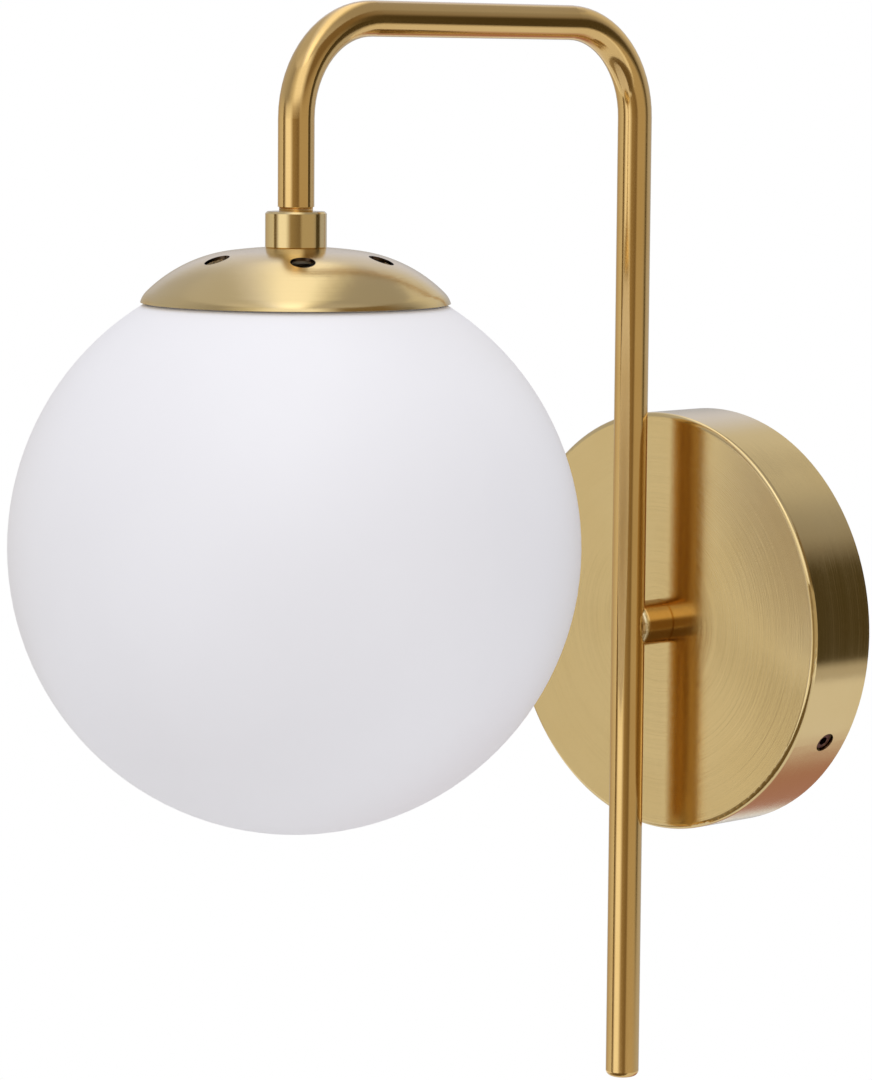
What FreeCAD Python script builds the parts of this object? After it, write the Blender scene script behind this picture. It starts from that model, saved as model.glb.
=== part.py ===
# Globe wall sconce: a round canopy on the wall, a bent tube arm that stands on a short stub,
# and an opal globe that hangs on three springs below a vented cap.
#
# Frame, in millimetres: the wall is the plane Y = 0 and the sconce reaches towards -Y.
# +Z is up, and the origin is the canopy's centre on the wall.
# "Plate frame" is the same frame turned about Y, with X running along the wall bracket.
# "Lamp axis" is the upright line through the leg of the arm, the cap, the lampholder and the globe.

import FreeCAD, Part
import math
import os
import re

import Sketcher

Vector = FreeCAD.Vector
Constraint = Sketcher.Constraint

# ---------------------------------------------------------------- driving dimensions

SIZES = {
    # canopy and wall bracket
    "canopy_radius": 60.0,
    "canopy_depth": 23.0,
    "canopy_sheet": 1.0,
    "canopy_edge": 1.5,
    "bracket_turn": 30.0,
    "bracket_half": 58.2,
    "bracket_width": 16.0,
    "bracket_sheet": 2.0,
    "tab_height": 14.0,
    "side_hole": 3.0,
    "side_height": 8.7,
    "lock_radius": 2.5,
    "lock_length": 7.0,
    "lock_recess": 0.75,
    "lock_socket": 1.45,
    "wall_hole": 2.25,
    "wall_pitch": 88.9,
    # earthing
    "earth_place": 22.0,
    "earth_shank": 2.0,
    "earth_head": 4.0,
    "earth_head_height": 2.4,
    "slot_width": 0.8,
    "lug_sheet": 0.8,
    "lug_radius": 4.2,
    "lug_reach": 13.0,
    "lug_barrel": 1.9,
    "lug_crimp": 6.0,
    "lug_socket": 4.0,
    "tag_radius": 8.0,
    "tag_width": 6.0,
    "tag_reach": 17.0,
    "tag_corner": 1.5,
    # terminal block
    "block_place": 29.5,
    "block_length": 17.0,
    "block_width": 19.0,
    "block_height": 12.0,
    "block_round": 1.0,
    "block_valley": 1.6,
    "pole_spacing": 9.0,
    "pole_height": 8.0,
    "pole_bore": 2.6,
    "barrel_radius": 2.5,
    "barrel_bore": 1.5,
    "barrel_length": 13.0,
    "clamp_spacing": 8.0,
    "clamp_radius": 1.4,
    "clamp_length": 3.2,
    "clamp_well": 2.0,
    "peg_radius": 1.5,
    "peg_spacing": 9.0,
    # stub between canopy and arm
    "stub_radius": 6.4,
    "stub_length": 9.7,
    "stub_chamfer": 0.35,
    "stub_thread": 5.5,
    "nipple_radius": 5.0,
    "nipple_bore": 3.5,
    "nipple_length": 15.0,
    "thread_chamfer": 0.4,
    "wire_bore": 3.0,
    "washer_sheet": 0.8,
    "washer_radius": 8.5,
    "washer_tooth": 1.6,
    "nut_flats": 14.0,
    "nut_height": 4.0,
    "bush_flange": 6.0,
    "bush_length": 6.0,
    "bush_bore": 2.75,
    "bush_lip": 1.5,
    # arm
    "tube_radius": 4.75,
    "tube_wall": 1.0,
    "rod_axis": 35.0,
    "arm_reach": 125.0,
    "arm_top": 169.6,
    "bend_radius": 26.0,
    "rod_foot": 131.0,
    "plug_head": 2.2,
    "plug_round": 1.6,
    "plug_spigot": 8.0,
    "plug_taper": 1.0,
    "leg_end": 120.8,
    # lamp axis, outside
    "neck_radius": 4.4,
    "neck_length": 1.2,
    "leg_spigot": 8.0,
    "leg_nipple": 4.0,
    "leg_bore": 2.7,
    "leg_reach": 21.9,
    "collar_radius": 8.0,
    "collar_height": 9.4,
    "collar_chamfer": 0.5,
    "cap_sheet": 0.8,
    "cap_seat": 9.0,
    "cap_crown": 130.0,
    "cap_shoulder": 38.0,
    "cap_lip": 6.0,
    "crown_angle": 7.52,
    "shoulder_angle": 44.8,
    "lip_angle": 75.0,
    "vent_radius": 3.2,
    "vent_circle": 24.4,
    "vent_depth": 9.6,
    "vent_turn": 23.5,
    # globe and its springs
    "globe_radius": 75.0,
    "globe_glass": 2.5,
    "globe_drop": 78.5,
    "mouth_radius": 35.0,
    "mouth_round": 1.0,
    "plate_radius": 19.0,
    "plate_sheet": 1.0,
    "spacer_radius": 8.8,
    "spacer_height": 1.4,
    "locknut_flats": 13.0,
    "locknut_height": 4.0,
    "spring_sheet": 0.6,
    "spring_width": 6.0,
    "spring_heel": 11.0,
    "spring_knee": 18.0,
    "spring_waist": 31.95,
    "spring_waist_drop": 11.5,
    "spring_bulge": 36.35,
    "spring_bulge_drop": 17.7,
    "spring_tip": 30.5,
    "spring_tip_drop": 29.2,
    "knee_bend": 4.0,
    "waist_bend": 2.5,
    "bulge_bend": 1.8,
    "rivet_circle": 14.5,
    "rivet_radius": 1.5,
    "rivet_head": 2.4,
    "rivet_dome": 0.9,
    # lampholder
    "holder_radius": 17.5,
    "holder_cap": 17.5,
    "holder_wall": 2.0,
    "holder_roof": 3.0,
    "holder_neck": 9.0,
    "holder_body": 32.0,
    "holder_skirt": 19.0,
    "holder_step": 3.0,
    "holder_slope": 4.0,
    "holder_lip": 1.5,
    "holder_floor": 4.0,
    "floor_bore": 2.0,
    "shell_radius": 14.0,
    "shell_sheet": 0.4,
    "shell_inset": 1.5,
    "shell_bore": 9.0,
    "post_place": 8.0,
    "post_side": 5.0,
    "post_bore": 1.2,
    "post_floor": 1.0,
    "post_screw": 1.6,
    "tongue_sheet": 0.4,
    "tongue_width": 2.4,
    "tongue_length": 9.0,
    "tongue_stem": 1.2,
    "stem_above": 1.0,
    # bulb
    "bulb_gap": 0.3,
    "bulb_screw": 13.1,
    "bulb_thread": 21.0,
    "bulb_shoulder": 11.6,
    "bulb_length": 78.0,
    "bulb_radius": 22.5,
    "bulb_neck": 13.4,
    "bulb_split": 5.0,
    "bulb_taper": 2.0,
    "housing_bow": 40.0,
    "housing_step": 0.6,
    "diffuser_wall": 1.2,
    "tip_radius": 4.5,
    "tip_height": 1.2,
    "seal_height": 3.0,
    # wires
    "lead_radius": 1.05,
    "lead_offset": 1.15,
    "lead_drop": 0.8,
    "lead_tail": 5.0,
    "lead_turn_place": 11.0,
    "lead_turn_depth": 7.2,
    "lead_fan": 8.0,
    "post_entry": 7.4,
    "post_seat": 2.0,
    "block_bend": 6.0,
    "nipple_bend": 3.6,
    "entry_bend": 4.5,
    "fan_bend": 2.4,
    "post_bend": 2.0,
    "earth_rise": 7.0,
    "earth_sweep": 15.0,
    "earth_bend": 4.0,
    "lug_bend": 3.5,
}

doc = FreeCAD.newDocument("GlobeWallSconce")
sheet = doc.addObject("Spreadsheet::Sheet", "Sizes")
for row, (alias, number) in enumerate(SIZES.items(), start=1):
    sheet.set(f"A{row}", alias)
    sheet.set(f"B{row}", str(number))
    sheet.setAlias(f"B{row}", alias)
doc.recompute()

# Heights on the lamp axis and depths from the wall, each worked out from the one before.
LEG_AXIS = "(rod_axis + arm_reach)"
COLLAR_TOP = "(leg_end - neck_length)"
CAP_SEAT = f"({COLLAR_TOP} - collar_height)"
SPACER_TOP = f"({CAP_SEAT} - cap_sheet)"
PLATE_TOP = f"({SPACER_TOP} - spacer_height)"
PLATE_UNDERSIDE = f"({PLATE_TOP} - plate_sheet)"
HOLDER_TOP = f"({PLATE_UNDERSIDE} - locknut_height)"
HOLDER_JOINT = f"({HOLDER_TOP} - holder_cap)"
HOLDER_MOUTH = f"({HOLDER_JOINT} - holder_body)"
SOCKET_FLOOR = f"({HOLDER_JOINT} - holder_floor)"
BULB_TIP = f"({SOCKET_FLOOR} - 4 * tongue_sheet)"
GLOBE_CENTRE = f"({CAP_SEAT} - globe_drop)"
STUB_FRONT = "(canopy_depth + stub_length)"
SHEET_BACK = "(canopy_depth - canopy_sheet)"
WASHER_BACK = f"({SHEET_BACK} - washer_sheet)"
TAG_BACK = f"({WASHER_BACK} - lug_sheet)"
NIPPLE_FRONT = "(canopy_depth + stub_thread)"
NIPPLE_BACK = f"({NIPPLE_FRONT} - nipple_length)"


# ---------------------------------------------------------------- helpers

def bound(text):
    """Expression text with every dimension looked up in the sheet."""
    return re.sub(r"\b[a-z]+_[a-z_]+\b", lambda found: "Sizes." + found.group(0), text)


def number(text):
    """Present value of an expression, in millimetres or degrees."""
    return float(sheet.evalExpression(text))


def bind(item, name, text):
    item.setExpression(name, bound(text))


def place(item, x="0", y="0", z="0", turn_axis=None, turn="0"):
    """Bind an object's place, and its turn about one axis, to the sheet."""
    if turn_axis:
        item.Placement = FreeCAD.Placement(Vector(), FreeCAD.Rotation(turn_axis, 1.0))
        bind(item, "Placement.Rotation.Angle", turn)
    for letter, text in (("x", x), ("y", y), ("z", z)):
        bind(item, f"Placement.Base.{letter}", text)


def new_body(label, **placing):
    body = doc.addObject("PartDesign::Body", label)
    body.Label = label
    place(body, **placing)
    return body


def plate_body(label):
    """A body in the plate frame, its X axis along the wall bracket."""
    return new_body(label, turn_axis=Vector(0, 1, 0), turn="bracket_turn")


def lamp_body(label, **placing):
    """A body whose Z axis is the lamp axis."""
    return new_body(label, y=f"-{LEG_AXIS}", **placing)


def new_sketch(body, plane, name, offset=None):
    sketch = body.newObject("Sketcher::SketchObject", name)
    support = [item for item in body.Origin.OriginFeatures if item.Role == plane][0]
    sketch.AttachmentSupport = [(support, "")]
    sketch.MapMode = "FlatFace"
    if offset:
        bind(sketch, "AttachmentOffset.Base.z", offset)
    return sketch


def fix_point(sketch, geometry, end, x, y):
    """Dimension one end of a sketch line from the sketch's origin."""
    for kind, axis, text in (("DistanceX", -2, x), ("DistanceY", -1, y)):
        size = number(text)
        if abs(size) < 1e-9:
            sketch.addConstraint(Constraint("PointOnObject", geometry, end, axis))
        elif size > 0:
            index = sketch.addConstraint(Constraint(kind, -1, 1, geometry, end, size))
            sketch.setExpression(f"Constraints[{index}]", bound(text))
        else:
            index = sketch.addConstraint(Constraint(kind, geometry, end, -1, 1, -size))
            sketch.setExpression(f"Constraints[{index}]", bound(f"-({text})"))


def fix_radius(sketch, geometry, text):
    index = sketch.addConstraint(Constraint("Radius", geometry, number(text)))
    sketch.setExpression(f"Constraints[{index}]", bound(text))


def arc_through(start, finish, radius, side):
    """Arc under a half circle; side +1 has its centre to the left of the way from start to finish."""
    chord = finish - start
    half = chord.Length / 2
    across = Vector(-chord.y, chord.x, 0).normalize() * side
    centre = start + chord * 0.5 + across * math.sqrt(max(radius * radius - half * half, 0.0))
    first = math.atan2(start.y - centre.y, start.x - centre.x)
    last = math.atan2(finish.y - centre.y, finish.x - centre.x)
    if side < 0:
        first, last = last, first
    if last < first:
        last += 2 * math.pi
    return Part.ArcOfCircle(Part.Circle(centre, Vector(0, 0, 1), radius), first, last)


def draw_outline(sketch, corners):
    """Closed outline. A corner is (x, y), or (x, y, radius, side) where an arc leaves it."""
    points = [Vector(number(corner[0]), number(corner[1]), 0) for corner in corners]
    count = len(corners)
    ends = []
    for index, corner in enumerate(corners):
        start = points[index]
        finish = points[(index + 1) % count]
        if len(corner) == 2:
            sketch.addGeometry(Part.LineSegment(start, finish), False)
            ends.append((1, 2))
        else:
            radius, side = corner[2:]
            sketch.addGeometry(arc_through(start, finish, number(radius), side), False)
            ends.append((1, 2) if side > 0 else (2, 1))
    first = sketch.GeometryCount - count
    for index, corner in enumerate(corners):
        following = (index + 1) % count
        sketch.addConstraint(
            Constraint("Coincident", first + index, ends[index][1], first + following, ends[following][0])
        )
        fix_point(sketch, first + index, ends[index][0], corner[0], corner[1])
    for index, corner in enumerate(corners):
        if len(corner) == 4:
            fix_radius(sketch, first + index, corner[2])


def draw_circle(sketch, radius, x="0", y="0"):
    centre = Vector(number(x), number(y), 0)
    geometry = sketch.addGeometry(Part.Circle(centre, Vector(0, 0, 1), number(radius)), False)
    fix_point(sketch, geometry, 3, x, y)
    fix_radius(sketch, geometry, radius)


def draw_rectangle(sketch, left, right, low, high):
    draw_outline(sketch, [(left, low), (right, low), (right, high), (left, high)])


def draw_bent_path(sketch, corners):
    """Open path of straight runs with a round bend at each inner corner (x, y, bend radius)."""
    points = [Vector(number(corner[0]), number(corner[1]), 0) for corner in corners]
    runs = len(points) - 1
    directions = [(points[i + 1] - points[i]).normalize() for i in range(runs)]
    setbacks = [0.0] * len(points)
    for index in range(1, runs):
        turn = directions[index - 1].getAngle(directions[index])
        setbacks[index] = number(corners[index][2]) * math.tan(turn / 2)
    for index in range(runs):
        start = points[index] + directions[index] * setbacks[index]
        finish = points[index + 1] - directions[index] * setbacks[index + 1]
        sketch.addGeometry(Part.LineSegment(start, finish), False)
    fix_point(sketch, 0, 1, *corners[0][:2])
    fix_point(sketch, runs - 1, 2, *corners[-1][:2])
    for index in range(1, runs):
        corner = sketch.addGeometry(Part.Point(points[index]), True)
        fix_point(sketch, corner, 1, *corners[index][:2])
        sketch.addConstraint(Constraint("PointOnObject", corner, 1, index - 1))
        sketch.addConstraint(Constraint("PointOnObject", corner, 1, index))
    for index in range(1, runs):
        start = points[index] - directions[index - 1] * setbacks[index]
        finish = points[index] + directions[index] * setbacks[index]
        side = 1 if directions[index - 1].cross(directions[index]).z > 0 else -1
        bend = sketch.addGeometry(
            arc_through(start, finish, number(corners[index][2]), side), False
        )
        near, far = (1, 2) if side > 0 else (2, 1)
        sketch.addConstraint(Constraint("Tangent", index - 1, 2, bend, near))
        sketch.addConstraint(Constraint("Tangent", index, 1, bend, far))
        fix_radius(sketch, bend, corners[index][2])


def revolve(body, corners, plane="XZ_Plane", name="Turned"):
    """Full turn of an outline about the sketch's upright axis."""
    sketch = new_sketch(body, plane, name + "Outline")
    draw_outline(sketch, corners)
    turned = body.newObject("PartDesign::Revolution", name)
    turned.Profile = sketch
    turned.ReferenceAxis = (sketch, ["V_Axis"])
    turned.Angle = 360.0
    return turned


def pad(body, sketch, length, name="Pad", both_ways=False, reverse=False):
    feature = body.newObject("PartDesign::Pad", name)
    feature.Profile = sketch
    feature.Midplane = both_ways
    feature.Reversed = reverse
    bind(feature, "Length", length)
    return feature


def pocket(body, sketch, length, name="Pocket", both_ways=False, reverse=False):
    """A cut of a set length; the solid has to lose volume, or the cut points away from it."""
    doc.recompute()
    before = body.Shape.Volume
    feature = body.newObject("PartDesign::Pocket", name)
    feature.Profile = sketch
    feature.Midplane = both_ways
    feature.Reversed = reverse
    bind(feature, "Length", length)
    doc.recompute()
    if body.Shape.Volume > before - 1e-3:
        raise RuntimeError(f"{body.Label}: {name} cuts nothing")
    return feature


def polar(body, feature, axis, count, name="Around"):
    """Repeat one feature about an axis of the body."""
    pattern = body.newObject("PartDesign::PolarPattern", name)
    pattern.Originals = [feature]
    line = [item for item in body.Origin.OriginFeatures if item.Role == axis][0]
    pattern.Axis = (line, [""])
    pattern.Angle = 360.0
    pattern.Occurrences = count
    body.Tip = pattern
    return pattern


def edge_names(feature, wanted):
    """Names of the edges that a test on the edge picks out."""
    doc.recompute()
    return [f"Edge{i}" for i, edge in enumerate(feature.Shape.Edges, start=1) if wanted(edge)]


def soften(body, kind, feature, names, size, name):
    """Fillet or chamfer the named edges of a feature."""
    softened = body.newObject(f"PartDesign::{kind}", name)
    softened.Base = (feature, names)
    bind(softened, "Radius" if kind == "Fillet" else "Size", size)
    return softened


def is_circle(edge, radius):
    if edge.Degenerated:
        return False
    curve = edge.Curve
    return isinstance(curve, Part.Circle) and abs(curve.Radius - radius) < 1e-4


# ---------------------------------------------------------------- canopy and wall bracket

def make_canopy():
    # Spun pan with a small round at its front edge, open towards the wall.
    body = plate_body("canopy")
    inside = "(canopy_radius - canopy_sheet)"
    revolve(body, [
        ("nipple_radius + 0.1", "-canopy_depth"),
        ("canopy_radius - canopy_edge", "-canopy_depth", "canopy_edge", 1),
        ("canopy_radius", "canopy_edge - canopy_depth"),
        ("canopy_radius", "0"),
        (inside, "0"),
        (inside, "canopy_edge - canopy_depth", "canopy_edge - canopy_sheet", -1),
        ("canopy_radius - canopy_edge", "canopy_sheet - canopy_depth"),
        ("nipple_radius + 0.1", "canopy_sheet - canopy_depth"),
    ], plane="XY_Plane", name="Spun")
    sketch = new_sketch(body, "YZ_Plane", "SideHole")
    draw_circle(sketch, "side_hole", x="-side_height")
    pocket(body, sketch, "4 * canopy_radius", "SideHoles", both_ways=True)
    return body


def make_wall_bracket():
    # Flat strip against the wall, both ends turned up inside the canopy's wall.
    body = plate_body("wall_bracket")
    strip = new_sketch(body, "XZ_Plane", "StripOutline")
    draw_rectangle(strip, "-bracket_half", "bracket_half", "-bracket_width / 2", "bracket_width / 2")
    pad(body, strip, "bracket_sheet", "Strip")
    for side, name in (("-", "Left"), ("", "Right")):
        tab = new_sketch(body, "XZ_Plane", f"{name}TabOutline")
        ends = [f"{side}(bracket_half - bracket_sheet)", f"{side}bracket_half"]
        if side:
            ends.reverse()
        draw_rectangle(tab, ends[0], ends[1], "-bracket_width / 2", "bracket_width / 2")
        pad(body, tab, "tab_height", f"{name}Tab")
    thread = new_sketch(body, "YZ_Plane", "TabThread")
    draw_circle(thread, "lock_radius", x="-side_height")
    pocket(body, thread, "4 * bracket_half", "TabThreads", both_ways=True)
    holes = new_sketch(body, "XZ_Plane", "WallHole")
    draw_circle(holes, "wall_hole", x="wall_pitch / 2")
    draw_circle(holes, "wall_hole", x="-wall_pitch / 2")
    draw_circle(holes, "earth_shank", x="earth_place")
    draw_circle(holes, "peg_radius", x="peg_spacing / 2 - block_place")
    draw_circle(holes, "peg_radius", x="-peg_spacing / 2 - block_place")
    pocket(body, holes, "4 * bracket_sheet", "WallHoles", both_ways=True)
    return body


def make_lock_screws():
    # Two headless screws in the bracket's tabs, backed out into the canopy's side holes.
    parts = []
    for side, turn in (("Right", 0), ("Left", 180)):
        shank = doc.addObject("Part::Cylinder", f"LockShank{side}")
        bind(shank, "Radius", "lock_radius")
        bind(shank, "Height", "lock_length")
        socket = doc.addObject("Part::Prism", f"LockSocket{side}")
        socket.Polygon = 6
        bind(socket, "Circumradius", "lock_socket")
        bind(socket, "Height", "lock_length / 2")
        for item, reach in (
            (shank, "canopy_radius - lock_recess - lock_length"),
            (socket, "canopy_radius - lock_recess - lock_length / 2"),
        ):
            # the screw's own Z axis turned along the bracket
            along = FreeCAD.Rotation(Vector(0, 1, 0), 90.0 + number("bracket_turn") + turn)
            item.Placement = FreeCAD.Placement(Vector(), along)
            direction = "1" if turn == 0 else "-1"
            bind(item, "Placement.Base.x", f"{direction} * ({reach}) * cos(bracket_turn)")
            bind(item, "Placement.Base.y", "-side_height")
            bind(item, "Placement.Base.z", f"-{direction} * ({reach}) * sin(bracket_turn)")
        screw = doc.addObject("Part::Cut", f"LockScrew{side}")
        screw.Base = shank
        screw.Tool = socket
        parts.append(screw)
    group = doc.addObject("Part::Compound", "canopy_lock_screws")
    group.Label = "canopy_lock_screws"
    group.Links = parts
    return group


def make_earth_screw():
    # Pan head screw that clamps the earth lug on the bracket; its tip stops at the wall plane.
    body = plate_body("earth_screw")
    seat = "(bracket_sheet + lug_sheet)"
    outline = new_sketch(body, "XZ_Plane", "ShankOutline")
    draw_circle(outline, "earth_shank", x="earth_place")
    shank = pad(body, outline, seat, "Shank")
    crown = new_sketch(body, "XZ_Plane", "HeadOutline", offset=seat)
    draw_circle(crown, "earth_head", x="earth_place")
    pad(body, crown, "earth_head_height", "Head")
    slot = new_sketch(body, "XZ_Plane", "SlotOutline", offset=f"{seat} + earth_head_height")
    draw_rectangle(slot, "earth_place - 2 * earth_head", "earth_place + 2 * earth_head",
                   "-slot_width / 2", "slot_width / 2")
    pocket(body, slot, "earth_head_height / 2", "Slot")
    names = edge_names(body.Tip, lambda edge: is_rim(edge, "earth_head", f"-({seat} + earth_head_height)"))
    soften(body, "Fillet", body.Tip, names, "earth_head_height / 3", "HeadRound")
    return body


def is_rim(edge, radius, depth):
    """Part of a round edge of this radius that lies at this depth from the wall."""
    return is_circle(edge, number(radius)) and abs(edge.Curve.Center.y - number(depth)) < 1e-4


def make_earth_lug():
    # Ring terminal under the earth screw, with a crimp barrel for the wire.
    body = plate_body("earth_lug")
    ring = new_sketch(body, "XZ_Plane", "RingOutline", offset="bracket_sheet")
    draw_circle(ring, "lug_radius", x="earth_place")
    draw_circle(ring, "earth_shank + 0.1", x="earth_place")
    pad(body, ring, "lug_sheet", "Ring")
    neck = new_sketch(body, "XZ_Plane", "NeckOutline", offset="bracket_sheet")
    draw_rectangle(neck, "earth_place - lug_barrel", "earth_place + lug_barrel",
                   "lug_radius - 1", "lug_reach")
    pad(body, neck, "lug_sheet", "Neck")
    barrel = new_sketch(body, "XY_Plane", "BarrelOutline", offset="lug_reach - lug_crimp")
    draw_circle(barrel, "lug_barrel", x="earth_place", y="-bracket_sheet - lug_barrel")
    pad(body, barrel, "lug_crimp", "Barrel")
    bore = new_sketch(body, "XY_Plane", "BoreOutline", offset="lug_reach")
    draw_circle(bore, "lead_radius", x="earth_place", y="-bracket_sheet - lug_barrel")
    pocket(body, bore, "lug_socket", "Bore")
    return body


# ---------------------------------------------------------------- terminal block

def pole_offsets():
    return (("Upper", "pole_spacing / 2"), ("Lower", "-pole_spacing / 2"))


def make_terminal_block():
    # Moulded block with two poles, snapped into the bracket by two pegs.
    body = plate_body("terminal_block")
    left = "(-block_place - block_length / 2)"
    right = "(-block_place + block_length / 2)"
    base = new_sketch(body, "XZ_Plane", "BlockOutline", offset="bracket_sheet")
    draw_rectangle(base, left, right, "-block_width / 2", "block_width / 2")
    block = pad(body, base, "block_height", "Block")
    names = edge_names(block, lambda edge: runs_along(edge, Vector(0, 1, 0)))
    soften(body, "Fillet", block, names, "block_round", "CornerRound")
    pegs = new_sketch(body, "XZ_Plane", "PegOutline")
    draw_circle(pegs, "peg_radius", x="peg_spacing / 2 - block_place")
    draw_circle(pegs, "peg_radius", x="-peg_spacing / 2 - block_place")
    pad(body, pegs, "bracket_sheet", "Pegs")
    valley = new_sketch(body, "XZ_Plane", "ValleyOutline", offset="bracket_sheet + block_height")
    draw_rectangle(valley, f"{left} - block_round", f"{right} + block_round",
                   "-block_valley / 2", "block_valley / 2")
    pocket(body, valley, "block_height / 2", "Valley")
    bores = new_sketch(body, "YZ_Plane", "BoreOutline", offset=left)
    for name, height in pole_offsets():
        draw_circle(bores, "pole_bore", x="-pole_height", y=height)
    pocket(body, bores, "block_length", "PoleBores", reverse=True)
    wells = new_sketch(body, "XZ_Plane", "WellOutline", offset="bracket_sheet + block_height")
    for name, height in pole_offsets():
        draw_circle(wells, "clamp_well", x="clamp_spacing / 2 - block_place", y=height)
        draw_circle(wells, "clamp_well", x="-clamp_spacing / 2 - block_place", y=height)
    pocket(body, wells, "bracket_sheet + block_height - pole_height", "Wells")
    return body


def runs_along(edge, direction):
    """A straight edge in this direction."""
    curve = edge.Curve
    return isinstance(curve, Part.Line) and abs(abs(curve.Direction.dot(direction)) - 1) < 1e-6


def make_terminal_barrels():
    # Brass tubes of the two poles, tapped across for the clamp screws.
    body = plate_body("terminal_barrels")
    start = "(-block_place - barrel_length / 2)"
    rings = new_sketch(body, "YZ_Plane", "RingOutline", offset=start)
    for name, height in pole_offsets():
        draw_circle(rings, "barrel_radius", x="-pole_height", y=height)
        draw_circle(rings, "barrel_bore", x="-pole_height", y=height)
    pad(body, rings, "barrel_length", "Tubes")
    taps = new_sketch(body, "XZ_Plane", "TapOutline", offset="pole_height")
    for name, height in pole_offsets():
        draw_circle(taps, "clamp_radius", x="clamp_spacing / 2 - block_place", y=height)
        draw_circle(taps, "clamp_radius", x="-clamp_spacing / 2 - block_place", y=height)
    pocket(body, taps, "2 * barrel_radius", "Taps", reverse=True)
    return body


def make_terminal_screws():
    # Four clamp screws, each standing a little above its barrel.
    body = plate_body("terminal_screws")
    tips = new_sketch(body, "XZ_Plane", "ShankOutline", offset="pole_height + lead_radius + 0.1")
    for name, height in pole_offsets():
        draw_circle(tips, "clamp_radius - 0.02", x="clamp_spacing / 2 - block_place", y=height)
        draw_circle(tips, "clamp_radius - 0.02", x="-clamp_spacing / 2 - block_place", y=height)
    pad(body, tips, "clamp_length", "Shanks")
    return body


# ---------------------------------------------------------------- stub and its fastening

def make_arm_stub():
    # Turned stub; a saddle across its front end takes the arm tube, where it is brazed.
    body = new_body("arm_stub")
    revolve(body, [
        ("wire_bore", f"-{STUB_FRONT}"),
        ("stub_radius - stub_chamfer", f"-{STUB_FRONT}"),
        ("stub_radius", f"stub_chamfer - {STUB_FRONT}"),
        ("stub_radius", "-canopy_depth - stub_chamfer"),
        ("stub_radius - stub_chamfer", "-canopy_depth"),
        ("nipple_radius", "-canopy_depth"),
        ("nipple_radius", f"-{NIPPLE_FRONT}"),
        ("wire_bore", f"-{NIPPLE_FRONT}"),
    ], plane="XY_Plane")
    saddle = new_sketch(body, "XY_Plane", "SaddleOutline")
    draw_circle(saddle, "tube_radius", y="-rod_axis")
    pocket(body, saddle, "4 * stub_radius", "Saddle", both_ways=True)
    return body


def make_stub_nipple():
    # Threaded tube that holds the stub on the canopy and leads the wires through.
    body = new_body("stub_nipple")
    revolve(body, [
        ("nipple_bore", f"-{NIPPLE_FRONT}"),
        ("nipple_radius - thread_chamfer", f"-{NIPPLE_FRONT}"),
        ("nipple_radius", f"thread_chamfer - {NIPPLE_FRONT}"),
        ("nipple_radius", f"-{NIPPLE_BACK} - thread_chamfer"),
        ("nipple_radius - thread_chamfer", f"-{NIPPLE_BACK}"),
        ("nipple_bore", f"-{NIPPLE_BACK}"),
    ], plane="XY_Plane")
    return body


def make_star_washer():
    # Internal tooth lock washer behind the canopy's sheet.
    body = new_body("star_washer")
    ring = new_sketch(body, "XZ_Plane", "RingOutline", offset=WASHER_BACK)
    draw_circle(ring, "washer_radius")
    draw_circle(ring, "nipple_radius + 0.15")
    pad(body, ring, "washer_sheet", "Ring")
    gap = new_sketch(body, "XZ_Plane", "GapOutline", offset=f"{WASHER_BACK} + washer_sheet")
    draw_rectangle(gap, "-washer_tooth / 2", "washer_tooth / 2",
                   "nipple_radius - 0.5", "nipple_radius + washer_tooth")
    notch = pocket(body, gap, "2 * washer_sheet", "Gap")
    polar(body, notch, "Y_Axis", 10)
    return body


def make_earth_tag():
    # Flat tag under the nut, where the earth wire of the arm is joined.
    body = new_body("earth_tag")
    ring = new_sketch(body, "XZ_Plane", "RingOutline", offset=TAG_BACK)
    draw_circle(ring, "tag_radius")
    draw_circle(ring, "nipple_radius + 0.15")
    pad(body, ring, "lug_sheet", "Ring")
    tongue = new_sketch(body, "XZ_Plane", "TongueOutline", offset=TAG_BACK)
    draw_outline(tongue, [
        ("tag_width", "-tag_width / 2"),
        ("tag_reach - tag_corner", "-tag_width / 2"),
        ("tag_reach", "tag_corner - tag_width / 2"),
        ("tag_reach", "tag_width / 2 - tag_corner"),
        ("tag_reach - tag_corner", "tag_width / 2"),
        ("tag_width", "tag_width / 2"),
    ])
    pad(body, tongue, "lug_sheet", "Tongue")
    return body


def hexagon(flats):
    """Corners of a hexagon, its flats towards +-Y of the sketch."""
    corners = []
    for step in range(6):
        angle = 60 * step
        corners.append((f"{flats} / sqrt(3) * cos({angle})", f"{flats} / sqrt(3) * sin({angle})"))
    return corners


def make_nut(body, plane, flats, bore, height, offset):
    """Hexagon nut with its corners turned off on both faces."""
    outline = new_sketch(body, plane, "NutOutline", offset=offset)
    draw_outline(outline, hexagon(flats))
    draw_circle(outline, bore)
    pad(body, outline, height, "Nut")
    return body


def make_nipple_nut():
    body = new_body("nipple_nut")
    return make_nut(body, "XZ_Plane", "nut_flats", "nipple_radius", "nut_height",
                    f"{TAG_BACK} - nut_height")


def make_wire_bush():
    # Flanged plastic bush that keeps the wires off the nipple's edge.
    body = new_body("wire_bush")
    revolve(body, [
        ("bush_bore", f"-{NIPPLE_BACK} - bush_length"),
        ("nipple_bore", f"-{NIPPLE_BACK} - bush_length"),
        ("nipple_bore", f"-{NIPPLE_BACK}"),
        ("bush_flange", f"-{NIPPLE_BACK}"),
        ("bush_flange", f"bush_lip / 2 - {NIPPLE_BACK}"),
        ("bush_flange - bush_lip / 2", f"bush_lip - {NIPPLE_BACK}"),
        ("bush_bore + bush_lip / 3", f"bush_lip - {NIPPLE_BACK}"),
        ("bush_bore", f"2 / 3 * bush_lip - {NIPPLE_BACK}"),
    ], plane="XY_Plane")
    return body


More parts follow.
